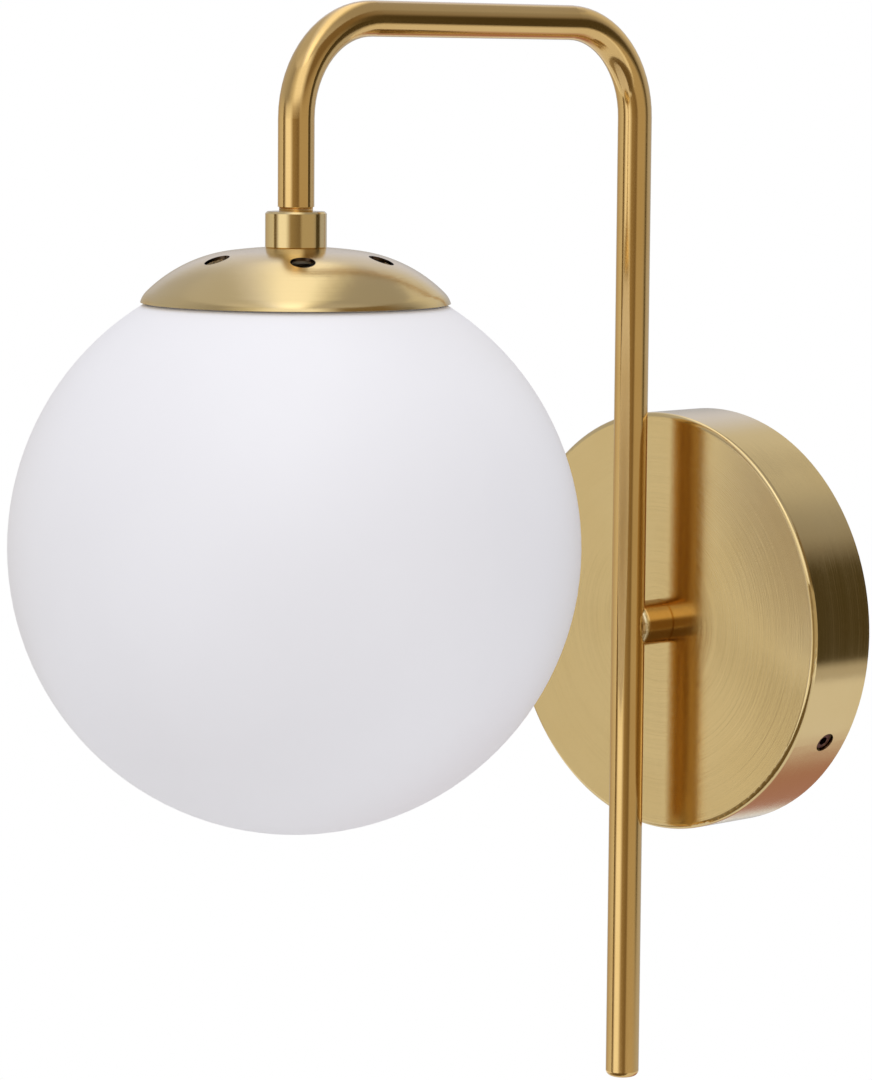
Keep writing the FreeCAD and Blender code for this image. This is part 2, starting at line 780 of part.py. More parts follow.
# ---------------------------------------------------------------- arm

def make_arm_tube():
    # One tube: up from its foot, over the top in two round bends, and down to the lamp.
    body = new_body("arm_tube")
    route = new_sketch(body, "YZ_Plane", "Route")
    draw_bent_path(route, [
        ("-rod_axis", "plug_head - rod_foot"),
        ("-rod_axis", "arm_top", "bend_radius"),
        (f"-{LEG_AXIS}", "arm_top", "bend_radius"),
        (f"-{LEG_AXIS}", "leg_end"),
    ])
    section = new_sketch(body, "XY_Plane", "Section", offset="plug_head - rod_foot")
    draw_circle(section, "tube_radius", y="-rod_axis")
    draw_circle(section, "tube_radius - tube_wall", y="-rod_axis")
    doc.recompute()
    tube = body.newObject("PartDesign::AdditivePipe", "BentTube")
    tube.Profile = section
    tube.Spine = (route, [f"Edge{i + 1}" for i in range(len(route.Shape.Edges))])
    entry = new_sketch(body, "XZ_Plane", "WireEntry", offset="rod_axis")
    draw_circle(entry, "wire_bore")
    pocket(body, entry, "2 * tube_radius", "WireHole")
    return body


def make_arm_end_plug():
    # Plug pressed into the tube's foot, its edge turned round.
    body = new_body("arm_end_plug", y="-rod_axis")
    seat = "(plug_head - rod_foot)"
    revolve(body, [
        ("0", "-rod_foot"),
        ("tube_radius - plug_round", "-rod_foot", "plug_round", 1),
        ("tube_radius", "plug_round - rod_foot"),
        ("tube_radius", seat),
        ("tube_radius - tube_wall", seat),
        ("tube_radius - tube_wall", f"{seat} + plug_spigot - plug_taper"),
        ("tube_radius - tube_wall - plug_taper", f"{seat} + plug_spigot"),
        ("0", f"{seat} + plug_spigot"),
    ])
    return body


def make_leg_nipple():
    # Turned nipple brazed into the leg: spigot in the tube, a short neck, then the thread.
    body = lamp_body("leg_nipple")
    spigot = "tube_radius - tube_wall"
    foot = f"({COLLAR_TOP} - leg_reach)"
    revolve(body, [
        ("leg_bore", foot),
        ("leg_nipple - thread_chamfer", foot),
        ("leg_nipple", f"{foot} + thread_chamfer"),
        ("leg_nipple", COLLAR_TOP),
        ("neck_radius", COLLAR_TOP),
        ("neck_radius", "leg_end"),
        (spigot, "leg_end"),
        (spigot, "leg_end + leg_spigot"),
        ("leg_bore", "leg_end + leg_spigot"),
    ])
    return body


# ---------------------------------------------------------------- cap over the globe

def make_cap_collar():
    body = lamp_body("cap_collar")
    revolve(body, [
        ("leg_nipple", CAP_SEAT),
        ("collar_radius - collar_chamfer / 2", CAP_SEAT),
        ("collar_radius", f"{CAP_SEAT} + collar_chamfer / 2"),
        ("collar_radius", f"{COLLAR_TOP} - collar_chamfer"),
        ("collar_radius - collar_chamfer", COLLAR_TOP),
        ("leg_nipple", COLLAR_TOP),
    ])
    return body


def cap_outline():
    """Cap section: flat seat, shallow crown, round shoulder and a tight lip, all tangent."""
    angles = ["asin(cap_seat / cap_crown)", "crown_angle", "shoulder_angle", "lip_angle"]
    radii = ["cap_crown", "cap_shoulder", "cap_lip"]
    reach = "cap_seat"
    height = CAP_SEAT
    stations = [(reach, height, angles[0])]
    for radius, start, finish in zip(radii, angles, angles[1:]):
        reach = f"({reach} + {radius} * (sin({finish}) - sin({start})))"
        height = f"({height} - {radius} * (cos({start}) - cos({finish})))"
        stations.append((reach, height, finish))
    outer = [("leg_nipple + 0.1", CAP_SEAT)]
    for (reach, height, angle), radius in zip(stations, radii):
        outer.append((reach, height, radius, -1))
    outer.append(stations[-1][:2])
    inner = []
    for index in range(3, -1, -1):
        reach, height, angle = stations[index]
        point = (f"{reach} - cap_sheet * sin({angle})", f"{height} - cap_sheet * cos({angle})")
        if index > 0:
            point = point + (f"{radii[index - 1]} - cap_sheet", 1)
        inner.append(point)
    inner.append(("leg_nipple + 0.1", SPACER_TOP))
    return outer + inner


def make_vented_cap():
    # Spun cap with six vent holes through its shoulder.
    body = lamp_body("vented_cap", turn_axis=Vector(0, 0, 1), turn="vent_turn")
    revolve(body, cap_outline(), name="Spun")
    hole = new_sketch(body, "XY_Plane", "VentOutline", offset=CAP_SEAT)
    draw_circle(hole, "vent_radius", x="vent_circle")
    vent = pocket(body, hole, "vent_depth", "Vent")
    polar(body, vent, "Z_Axis", 6, "Vents")
    return body


def make_plate_spacer():
    # Ring that keeps the spring plate clear of the cap's curve.
    body = lamp_body("plate_spacer")
    ring = new_sketch(body, "XY_Plane", "RingOutline", offset=PLATE_TOP)
    draw_circle(ring, "spacer_radius")
    draw_circle(ring, "leg_nipple + 0.1")
    pad(body, ring, "spacer_height", "Ring")
    return body


def make_spring_plate():
    # Disc clamped under the cap, carrying the three springs.
    body = lamp_body("spring_plate", turn_axis=Vector(0, 0, 1), turn="vent_turn - 30")
    disc = new_sketch(body, "XY_Plane", "DiscOutline", offset=PLATE_UNDERSIDE)
    draw_circle(disc, "plate_radius")
    draw_circle(disc, "leg_nipple + 0.1")
    pad(body, disc, "plate_sheet", "Disc")
    hole = new_sketch(body, "XY_Plane", "RivetHole", offset=PLATE_TOP)
    draw_circle(hole, "rivet_radius", x="rivet_circle")
    rivet_hole = pocket(body, hole, "2 * plate_sheet", "RivetHoleCut")
    polar(body, rivet_hole, "Z_Axis", 3, "RivetHoles")
    return body


def make_cap_locknut():
    body = lamp_body("cap_locknut")
    return make_nut(body, "XY_Plane", "locknut_flats", "leg_nipple", "locknut_height", HOLDER_TOP)


def make_globe_spring(index):
    # Formed strip: flat heel under the plate, out to a waist, a bulge below the glass, a lead-in.
    label = f"globe_spring_{index + 1}"
    body = lamp_body(label, turn_axis=Vector(0, 0, 1), turn=f"vent_turn - 30 + {120 * index}")
    heel = f"({PLATE_UNDERSIDE} - spring_sheet / 2)"
    route = new_sketch(body, "XZ_Plane", "Route")
    draw_bent_path(route, [
        ("spring_heel", heel),
        ("spring_knee", heel, "knee_bend"),
        ("spring_waist", f"{CAP_SEAT} - spring_waist_drop", "waist_bend"),
        ("spring_bulge", f"{CAP_SEAT} - spring_bulge_drop", "bulge_bend"),
        ("spring_tip", f"{CAP_SEAT} - spring_tip_drop"),
    ])
    section = new_sketch(body, "YZ_Plane", "Section", offset="spring_heel")
    draw_rectangle(section, "-spring_width / 2", "spring_width / 2",
                   f"{heel} - spring_sheet / 2", f"{heel} + spring_sheet / 2")
    doc.recompute()
    strip = body.newObject("PartDesign::AdditivePipe", "Strip")
    strip.Profile = section
    strip.Spine = (route, [f"Edge{i + 1}" for i in range(len(route.Shape.Edges))])
    hole = new_sketch(body, "XY_Plane", "RivetHole", offset=PLATE_UNDERSIDE)
    draw_circle(hole, "rivet_radius", x="rivet_circle")
    pocket(body, hole, "2 * spring_sheet", "RivetHoleCut")
    return body


def make_spring_rivets():
    # One rivet for each spring, its round head below the strip.
    parts = []
    low = f"({PLATE_UNDERSIDE} - spring_sheet)"
    for index in range(3):
        turn = f"(vent_turn - 30 + {120 * index})"
        shank = doc.addObject("Part::Cylinder", f"RivetShank{index + 1}")
        bind(shank, "Radius", "rivet_radius")
        bind(shank, "Height", "spring_sheet + plate_sheet")
        head = doc.addObject("Part::Cone", f"RivetHead{index + 1}")
        bind(head, "Radius1", "rivet_head * 0.6")
        bind(head, "Radius2", "rivet_head")
        bind(head, "Height", "rivet_dome")
        for item, height in ((shank, low), (head, f"{low} - rivet_dome")):
            place(item, x=f"rivet_circle * cos{turn}",
                  y=f"rivet_circle * sin{turn} - {LEG_AXIS}", z=height)
        rivet = doc.addObject("Part::Fuse", f"Rivet{index + 1}")
        rivet.Base = shank
        rivet.Tool = head
        parts.append(rivet)
    group = doc.addObject("Part::Compound", "spring_rivets")
    group.Label = "spring_rivets"
    group.Links = parts
    return group


def make_globe_glass():
    # Blown opal globe without a neck: a plain round mouth with a fire-polished edge.
    body = lamp_body("globe_glass", z=GLOBE_CENTRE)
    inner = "(globe_radius - globe_glass)"
    turned = revolve(body, [
        ("0", "-globe_radius", "globe_radius", 1),
        ("mouth_radius", "sqrt(globe_radius ^ 2 - mouth_radius ^ 2)"),
        ("mouth_radius", f"sqrt({inner} ^ 2 - mouth_radius ^ 2)", inner, -1),
        ("0", f"-{inner}"),
    ], name="Blown")
    names = edge_names(turned, lambda edge: is_circle(edge, number("mouth_radius")))
    soften(body, "Fillet", turned, names, "mouth_round", "FirePolish")
    return body


# ---------------------------------------------------------------- lampholder

def make_holder_cap():
    # Hollow upper half, screwed on the leg's nipple.
    body = lamp_body("holder_cap")
    knee = f"({HOLDER_TOP} - holder_radius + holder_neck)"
    inner = "(holder_radius - holder_wall)"
    revolve(body, [
        ("leg_nipple", HOLDER_TOP),
        ("holder_neck", HOLDER_TOP, "holder_radius - holder_neck", -1),
        ("holder_radius", knee),
        ("holder_radius", HOLDER_JOINT),
        (inner, HOLDER_JOINT),
        (inner, knee),
        (f"{inner} - holder_slope", f"{HOLDER_TOP} - holder_roof"),
        ("leg_nipple", f"{HOLDER_TOP} - holder_roof"),
    ])
    return body


def make_holder_body():
    # Lower half: floor with the contacts on it, and the skirt round the screw shell.
    body = lamp_body("holder_body")
    revolve(body, [
        ("floor_bore", HOLDER_JOINT),
        ("holder_radius", HOLDER_JOINT),
        ("holder_radius", f"{HOLDER_JOINT} - holder_step"),
        ("holder_skirt", f"{HOLDER_JOINT} - holder_step - holder_slope"),
        ("holder_skirt", f"{HOLDER_MOUTH} + holder_lip", "holder_lip", -1),
        ("holder_skirt - holder_lip", HOLDER_MOUTH),
        ("shell_radius + holder_lip / 3", HOLDER_MOUTH),
        ("shell_radius", f"{HOLDER_MOUTH} + holder_lip / 2"),
        ("shell_radius", SOCKET_FLOOR),
        ("floor_bore", SOCKET_FLOOR),
    ])
    return body


def make_screw_shell():
    # Plain sleeve of the screw socket; the rolled thread is finer than this model.
    body = lamp_body("screw_shell")
    inner = "(shell_radius - shell_sheet)"
    revolve(body, [
        (inner, f"{HOLDER_MOUTH} + shell_inset"),
        ("shell_radius", f"{HOLDER_MOUTH} + shell_inset"),
        ("shell_radius", SOCKET_FLOOR),
        ("shell_bore", SOCKET_FLOOR),
        ("shell_bore", f"{SOCKET_FLOOR} - shell_sheet"),
        (inner, f"{SOCKET_FLOOR} - shell_sheet"),
    ])
    return body


def make_centre_contact():
    # Sprung tongue under the floor, pressed by the bulb's tip, with its stem up through the floor.
    body = lamp_body("centre_contact")
    tongue = new_sketch(body, "XZ_Plane", "TongueOutline")
    low = f"({BULB_TIP} + bulb_gap)"
    back = "(tongue_stem + tongue_sheet)"
    draw_outline(tongue, [
        ("-tongue_stem", f"{HOLDER_JOINT} + stem_above"),
        ("-tongue_stem", f"{SOCKET_FLOOR} - tongue_sheet"),
        ("tongue_length / 2 - stem_above", f"{low} + tongue_sheet"),
        ("tongue_length / 2", f"{low} + tongue_sheet"),
        ("tongue_length / 2", low),
        ("-tongue_length / 2", low),
        ("-tongue_length / 2", f"{low} + tongue_sheet"),
        (f"-{back}", f"{SOCKET_FLOOR} - tongue_sheet"),
        (f"-{back}", f"{HOLDER_JOINT} + stem_above"),
    ])
    pad(body, tongue, "tongue_width", "Tongue", both_ways=True)
    return body


def post_sides():
    return (("Right", ""), ("Left", "-"))


def make_holder_posts():
    # Two brass posts on the floor; each takes one wire from above.
    body = lamp_body("holder_posts")
    base = new_sketch(body, "XY_Plane", "PostOutline", offset=HOLDER_JOINT)
    for name, side in post_sides():
        centre = f"{side}post_place"
        draw_rectangle(base, f"{centre} - post_side / 2", f"{centre} + post_side / 2",
                       "-post_side / 2", "post_side / 2")
    pad(body, base, "post_side", "Posts")
    bores = new_sketch(body, "XY_Plane", "BoreOutline", offset=f"{HOLDER_JOINT} + post_side")
    for name, side in post_sides():
        draw_circle(bores, "post_bore", x=f"{side}post_place")
    pocket(body, bores, "post_side - post_floor", "Bores")
    return body


def make_holder_screws():
    # Clamp screws of the posts, from the side.
    body = lamp_body("holder_screws")
    tips = new_sketch(body, "XZ_Plane", "ShankOutline", offset="post_side / 2")
    for name, side in post_sides():
        draw_circle(tips, "post_screw", x=f"{side}post_place", y=f"{HOLDER_JOINT} + post_side / 2")
    pad(body, tips, "post_screw", "Heads")
    return body


# ---------------------------------------------------------------- bulb

def make_bulb_tip():
    body = lamp_body("bulb_tip")
    revolve(body, [
        ("0", f"{BULB_TIP} - tip_height"),
        ("tip_radius", f"{BULB_TIP} - tip_height"),
        ("tip_radius - tip_height", BULB_TIP),
        ("0", BULB_TIP),
    ])
    return body


SEAL_TOP = f"({BULB_TIP} - tip_height)"
SEAL_FOOT = f"({SEAL_TOP} - seal_height)"
SCREW_FOOT = f"({SEAL_FOOT} - bulb_thread)"
BULB_FOOT = f"({BULB_TIP} - bulb_length)"
BULB_CENTRE = f"({BULB_FOOT} + bulb_radius)"
SPLIT_HEIGHT = f"({BULB_CENTRE} + bulb_split)"
SPLIT_RADIUS = "sqrt(bulb_radius ^ 2 - bulb_split ^ 2)"


def make_bulb_seal():
    # Glass insulator between the tip and the screw cap.
    body = lamp_body("bulb_seal")
    revolve(body, [
        ("0", SEAL_FOOT),
        ("bulb_shoulder - bulb_taper / 2", SEAL_FOOT),
        ("tip_radius", SEAL_TOP),
        ("0", SEAL_TOP),
    ])
    return body


def make_bulb_screw_cap():
    body = lamp_body("bulb_screw_cap")
    revolve(body, [
        ("0", SCREW_FOOT),
        ("bulb_screw", SCREW_FOOT),
        ("bulb_screw", f"{SEAL_FOOT} - bulb_taper"),
        ("bulb_shoulder", SEAL_FOOT),
        ("0", SEAL_FOOT),
    ])
    return body


def make_bulb_housing():
    # White moulded body between the screw cap and the diffuser.
    body = lamp_body("bulb_housing")
    revolve(body, [
        ("0", SPLIT_HEIGHT),
        (SPLIT_RADIUS, SPLIT_HEIGHT),
        (f"{SPLIT_RADIUS} - housing_step", f"{SPLIT_HEIGHT} + bulb_taper", "housing_bow", -1),
        ("bulb_neck", f"{SCREW_FOOT} - bulb_taper"),
        ("bulb_neck", SCREW_FOOT),
        ("0", SCREW_FOOT),
    ])
    return body


def make_bulb_diffuser():
    # Frosted dome over the light source.
    body = lamp_body("bulb_diffuser")
    inner = "(bulb_radius - diffuser_wall)"
    revolve(body, [
        ("0", BULB_FOOT, "bulb_radius", 1),
        (SPLIT_RADIUS, SPLIT_HEIGHT),
        (f"sqrt({inner} ^ 2 - bulb_split ^ 2)", SPLIT_HEIGHT, inner, -1),
        ("0", f"{BULB_FOOT} + diffuser_wall"),
    ])
    return body


# ---------------------------------------------------------------- wires

def bent_wire(label, points, bends, radius):
    """Round wire swept along straight runs joined by tangent arcs; bends are the arcs' radii."""
    edges = []
    start = points[0]
    length = 0.0
    for index in range(1, len(points) - 1):
        corner = points[index]
        before = (corner - points[index - 1]).normalize()
        after = (points[index + 1] - corner).normalize()
        turn = before.getAngle(after)
        setback = bends[index - 1] * math.tan(turn / 2)
        entry = corner - before * setback
        leave = corner + after * setback
        middle_way = (after - before).normalize()
        centre = corner + middle_way * (bends[index - 1] / math.cos(turn / 2))
        middle = centre - middle_way * bends[index - 1]
        edges.append(Part.LineSegment(start, entry).toShape())
        edges.append(Part.Arc(entry, middle, leave).toShape())
        length += (entry - start).Length + bends[index - 1] * turn
        start = leave
    edges.append(Part.LineSegment(start, points[-1]).toShape())
    length += (points[-1] - start).Length
    spine = Part.Wire(edges)
    heading = points[1] - points[0]
    section = Part.Wire(Part.Circle(points[0], heading, radius).toShape())
    solid = spine.makePipeShell([section], True, False)
    expected = math.pi * radius * radius * length
    print(f"{label}: length {length:.1f}, bends {bends}, volume {solid.Volume / expected:.4f} of section x length")
    if abs(solid.Volume / expected - 1) > 0.01:
        raise RuntimeError(f"{label}: the sweep has a wrong volume")
    feature = doc.addObject("Part::Feature", label)
    feature.Label = label
    feature.Shape = solid
    feature.Placement = FreeCAD.Placement()
    return feature


def plate_point(along, across, out):
    """Place given in the plate frame: along the bracket, across it, and out from the wall."""
    angle = math.radians(number("bracket_turn"))
    return Vector(
        along * math.cos(angle) + across * math.sin(angle),
        -out,
        -along * math.sin(angle) + across * math.cos(angle),
    )


def make_lead(label, side):
    # Supply lead of one pole: block, bush, nipple, stub, whole arm, leg nipple, holder post.
    offset = side * number("lead_offset")
    drop = -number("lead_drop")
    rod = -number("rod_axis")
    lamp = -number(LEG_AXIS)
    top = number("arm_top")
    across = side * number("pole_spacing / 2")
    out = number("pole_height")
    post = side * number("post_place")
    points = [
        plate_point(-number("block_place - barrel_length / 2 + lead_tail"), across, out),
        plate_point(-number("lead_turn_place"), across, out),
        Vector(offset, -number("lead_turn_depth"), drop),
        Vector(offset, rod, drop),
        Vector(offset, rod, top),
        Vector(offset, lamp, top),
        Vector(offset, lamp, number(f"{HOLDER_JOINT} + lead_fan")),
        Vector(post, lamp, number(f"{HOLDER_JOINT} + post_entry")),
        Vector(post, lamp, number(f"{HOLDER_JOINT} + post_seat")),
    ]
    names = ["block_bend", "nipple_bend", "entry_bend", "bend_radius", "bend_radius", "fan_bend", "post_bend"]
    return bent_wire(label, points, [number(name) for name in names], number("lead_radius"))


def make_earth_wire():
    # Short green and yellow wire from the tag under the nut to the lug on the bracket.
    tag = number(f"lead_radius - {TAG_BACK}")
    low = -number("lead_radius")
    along = number("earth_place")
    lug_out = number("bracket_sheet + lug_barrel")
    points = [
        Vector(number("tag_reach - 2 * tag_corner"), tag, low),
        Vector(number("tag_reach + earth_rise"), tag, low),
        Vector(number("tag_reach + earth_sweep"), -number("lead_turn_place"), number("lead_fan")),
        plate_point(along, number("lug_reach + earth_rise"), lug_out),
        plate_point(along, number("lug_reach - lug_socket"), lug_out),
    ]
    bends = [number(name) for name in ("earth_bend", "earth_bend", "lug_bend")]
    return bent_wire("earth_wire", points, bends, number("lead_radius"))


# ---------------------------------------------------------------- build, check, write

def make_all():
    parts = [
        make_canopy(), make_wall_bracket(), make_lock_screws(), make_earth_screw(), make_earth_lug(),
        make_terminal_block(), make_terminal_barrels(), make_terminal_screws(),
        make_arm_stub(), make_stub_nipple(), make_star_washer(), make_earth_tag(),
        make_nipple_nut(), make_wire_bush(),
        make_arm_tube(), make_arm_end_plug(), make_leg_nipple(),
        make_cap_collar(), make_vented_cap(), make_plate_spacer(), make_spring_plate(),
        make_cap_locknut(),
    ]
    parts += [make_globe_spring(index) for index in range(3)]
    parts += [
        make_spring_rivets(), make_globe_glass(),
        make_holder_cap(), make_holder_body(), make_screw_shell(), make_centre_contact(),
        make_holder_posts(), make_holder_screws(),
        make_bulb_tip(), make_bulb_seal(), make_bulb_screw_cap(),
        make_bulb_housing(), make_bulb_diffuser(),
        make_lead("live_wire", 1), make_lead("neutral_wire", -1), make_earth_wire(),
    ]
    return parts


def check(parts):
    """Stop before anything is written if an object failed or a solid is not sound."""
    for item in doc.Objects:
        if "Invalid" in item.State or "Error" in item.State:
            raise RuntimeError(f"{item.Label}: {item.State}")
        if item.TypeId == "Sketcher::SketchObject" and item.solve() != 0:
            raise RuntimeError(f"{item.Label}: the sketch does not solve")
    for part in parts:
        shape = part.Shape
        if shape.isNull() or not shape.isValid() or not shape.Solids:
            raise RuntimeError(f"{part.Label}: no valid solid")


def write(parts):
    os.makedirs("parts", exist_ok=True)
    for part in parts:
        part.Shape.exportStep(f"parts/{part.Label}.step")
        print(f"{part.Label}: {len(part.Shape.Solids)} solid(s), "
              f"{part.Shape.Volume / 1000:.2f} cm3, {len(part.Shape.Faces)} faces")
    print(f"{len(parts)} parts")


all_parts = make_all()
doc.recompute()
check(all_parts)
write(all_parts)
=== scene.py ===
import math

import bpy
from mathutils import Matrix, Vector


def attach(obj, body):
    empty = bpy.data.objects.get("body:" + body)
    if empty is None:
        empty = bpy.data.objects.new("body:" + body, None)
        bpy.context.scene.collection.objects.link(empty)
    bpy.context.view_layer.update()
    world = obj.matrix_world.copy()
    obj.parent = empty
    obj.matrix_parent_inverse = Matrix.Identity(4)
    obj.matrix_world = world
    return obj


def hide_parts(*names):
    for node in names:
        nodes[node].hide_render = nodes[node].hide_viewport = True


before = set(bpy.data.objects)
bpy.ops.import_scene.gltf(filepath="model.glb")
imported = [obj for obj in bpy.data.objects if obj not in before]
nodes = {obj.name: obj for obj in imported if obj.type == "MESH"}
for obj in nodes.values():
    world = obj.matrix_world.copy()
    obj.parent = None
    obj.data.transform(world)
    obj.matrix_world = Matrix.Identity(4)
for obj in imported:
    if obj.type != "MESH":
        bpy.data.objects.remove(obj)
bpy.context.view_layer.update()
print("frame loaded:", len(nodes), "nodes")

lampY = -0.160  # the upright line through leg, cap and globe
lampAxis = (0, lampY, 0)
hair = 1e-6  # metres: points nearer than this count as one

view = {
    "place": (0.77021, -0.82187, 0.15469),
    "turn": (83.2206, -0.4252, 47.2923),  # degrees
    "lens": 130.053,
    "sensor": 36.0,
    "clip": (0.01, 50),
}


def addCamera():
    data = bpy.data.cameras.new("photoCamera")
    data.lens = view["lens"]
    data.sensor_width = view["sensor"]
    data.clip_start, data.clip_end = view["clip"]
    camera = bpy.data.objects.new("photoCamera", data)
    bpy.context.collection.objects.link(camera)
    camera.location = view["place"]
    camera.rotation_euler = [math.radians(angle) for angle in view["turn"]]
    bpy.context.scene.camera = camera


addCamera()
bpy.context.scene.view_settings.view_transform = "Standard"
print("camera set")


class Sock:
    # one output of a node, so that shader maths can be written as expressions
    def __init__(self, nodeSet, socket):
        self.nodeSet = nodeSet
        self.socket = socket

    def maths(self, operation, *others):
        return self.nodeSet.maths(operation, self, *others)

    def flipped(self, operation, other):
        return self.nodeSet.maths(operation, other, self)

    def __add__(self, other):
        return self.maths("ADD", other)

    def __radd__(self, other):
        return self.flipped("ADD", other)

    def __sub__(self, other):
        return self.maths("SUBTRACT", other)

    def __rsub__(self, other):
        return self.flipped("SUBTRACT", other)

    def __mul__(self, other):
        return self.maths("MULTIPLY", other)

    def __rmul__(self, other):
        return self.flipped("MULTIPLY", other)

    def __truediv__(self, other):
        return self.maths("DIVIDE", other)

    def __rtruediv__(self, other):
        return self.flipped("DIVIDE", other)

    def __pow__(self, other):
        return self.maths("POWER", other)

    def __rpow__(self, other):
        return self.flipped("POWER", other)


def opaque(colour):
    # a plain colour gets its alpha, and a socket stays as it is
    return colour if isinstance(colour, Sock) else (*colour, 1)


class NodeSet:
    # the nodes of one material or world
    def __init__(self, tree):
        self.tree = tree
        self.tree.nodes.clear()
        self.places = {}

    def node(self, kind, settings=None, **values):
        # i3 stands for the fourth input, and any other word for the input of that name
        node = self.tree.nodes.new("ShaderNode" + kind)
        for name, value in (settings or {}).items():
            if name == "stops":
                self.setStops(node.color_ramp, value)
            else:
                setattr(node, name, value)
        for name, value in values.items():
            numbered = name[0] == "i" and name[1:].isdigit()
            socket = node.inputs[int(name[1:]) if numbered else name.replace("_", " ")]
            if isinstance(value, Sock):
                self.tree.links.new(value.socket, socket)
            else:
                socket.default_value = value
        return node

    def setStops(self, ramp, stops):
        while len(ramp.elements) < len(stops):
            ramp.elements.new(0.5)
        for element, (place, colour) in zip(ramp.elements, stops):
            element.position = place
            element.color = opaque(colour)

    def out(self, node, output=0):
        return Sock(self, node.outputs[output])

    def maths(self, operation, *items):
        inputs = {f"i{index}": item for index, item in enumerate(items)}
        return self.out(self.node("Math", {"operation": operation}, **inputs))

    def place(self, centre=(0, 0, 0)):
        # the shaded point, in the piece's own coordinates and measured from this centre
        if centre not in self.places:
            point = self.out(self.node("TexCoord"), "Object")
            moved = self.node("VectorMath", {"operation": "SUBTRACT"}, i0=point, i1=centre)
            self.places[centre] = self.out(moved)
        return self.places[centre]

    def axes(self, centre=(0, 0, 0)):
        # the same point as three numbers
        apart = self.node("SeparateXYZ", i0=self.place(centre))
        return [self.out(apart, axis) for axis in ("X", "Y", "Z")]

    def noise(self, where, scale, detail, rough):
        node = self.node("TexNoise", Vector=where, Scale=scale, Detail=detail, Roughness=rough)
        return self.out(node)

    def lines(self, along, scale, detail, rough):
        # noise in one direction only
        settings = {"noise_dimensions": "1D"}
        node = self.node("TexNoise", settings, W=along, Scale=scale, Detail=detail, Roughness=rough)
        return self.out(node)

    def stretch(self, value, low, high, newLow=0.0, newHigh=1.0):
        # low to high becomes newLow to newHigh, and nothing goes past those
        settings = {"clamp": True}
        return self.out(self.node("MapRange", settings, i0=value, i1=low, i2=high, i3=newLow, i4=newHigh))

    def blend(self, factor, first, second):
        # a Mix node's inputs 6 and 7 and its output 2 are the ones for colours
        settings = {"data_type": "RGBA"}
        return self.out(self.node("Mix", settings, i0=factor, i6=opaque(first), i7=opaque(second)), 2)

    def bump(self, height, distance, strength):
        return self.out(self.node("Bump", Strength=strength, Distance=distance, Height=height))

    def rays(self):
        # 1 for a ray from the camera, for one off metal and for one through glass
        path = self.node("LightPath")
        return [self.out(path, f"Is {kind} Ray") for kind in ("Camera", "Glossy", "Transmission")]


class Finish(NodeSet):
    # one material
    def __init__(self, name):
        self.material = bpy.data.materials.new(name)
        self.material.use_nodes = True
        super().__init__(self.material.node_tree)

    def close(self, shader):
        self.node("OutputMaterial", i0=self.out(shader))
        return self.material

    def shade(self, **values):
        return self.close(self.node("BsdfPrincipled", **values))

    def glow(self, colour, strength):
        return self.close(self.node("Emission", i0=colour, i1=strength))


# studio set: white all round, soft light, and reflection cards for the metal

studio = {
    "centre": (0, -0.09, 0.0),
    "ringRadius": 1.5,
    "ringLow": -0.58,
    "ringHigh": 1.4,
    "skyColour": (0.985, 0.98, 1),
    "skyLight": 0.76,
    "cameraSide": -43.5,  # degrees, from +X to the camera, seen from above
    "lowTop": 0.22,  # the lower bands turn into the upper ones between these heights
    "highFoot": 0.52,
    "cardLight": 1.18,  # strength of every card that the metal mirrors
}

studioFloor = {
    "height": -0.60,
    "size": 2.2,
    "colour": (0.86, 0.86, 0.86),
    "rough": 0.7,
    "seen": 0.8,  # how far the camera sees plain white instead
    "mirrored": 0.25,  # and how far the metal does
}

tones = {
    "white": (1.0, 1.0, 1.0),
    "cream": (0.76, 0.72, 0.64),
    "pale": (0.60, 0.58, 0.53),
    "mauve": (0.62, 0.64, 0.76),
    "grey": (0.44, 0.44, 0.46),
    "soft": (0.45, 0.385, 0.28),
    "shade": (0.32, 0.31, 0.31),
    "brown": (0.31, 0.235, 0.13),
    "umber": (0.19, 0.135, 0.07),
    "dark": (0.12, 0.08, 0.030),
}

# what the ring shows, by degrees to the right of the camera
lowBands = [
    (-180, "grey"), (-140, "soft"), (-104, "pale"), (-94, "pale"), (-88, "cream"), (-84, "dark"),
    (-76, "dark"), (-62, "white"), (-36, "white"), (-19, "brown"), (15, "umber"), (24, "soft"),
    (46, "soft"), (66, "soft"), (110, "grey"), (180, "grey"),
]
highBands = [
    (-180, "mauve"), (-165, "mauve"), (-150, "grey"), (-100, "grey"), (-60, "shade"), (-35, "pale"),
    (-15, "white"), (15, "white"), (38, "umber"), (75, "umber"), (105, "shade"), (130, "pale"),
    (160, "pale"), (168, "mauve"), (180, "mauve"),
]

# a black card on the ring, which draws the dark edge down the right of every upright tube
flag = {
    "across": (74, 82, 99, 106),  # degrees to the right: where it starts, is full, thins out and ends
    "up": (-0.46, -0.38, 0.50, 0.85),  # the same, by height in metres
    "colour": (0.062, 0.048, 0.022),
}

# the ceiling over the lamp: one bright strip that runs away from the camera
ceiling = {
    "bands": [  # by metres to the right of the camera's line
        (-0.9, "grey"), (-0.55, "grey"), (-0.36, "mauve"), (-0.13, "white"), (0.12, "white"),
        (0.27, "pale"), (0.42, "shade"), (0.9, "shade"),
    ],
    "reach": 1.0,  # the bands lie within this distance on both sides
    "towards": (0.2, 0.8),  # metres towards the camera, over which it gets brighter
    "level": (1.1, 1.4),
}


def overCentre(height):
    return (*studio["centre"][:2], height)


def makeCard(card, finish, colour):
    # a reflection card shows in metal and nowhere else
    card.data.materials.append(finish.glow(colour, studio["cardLight"]))
    for kind in ("camera", "diffuse", "shadow", "transmission", "volume_scatter"):
        setattr(card, "visible_" + kind, False)


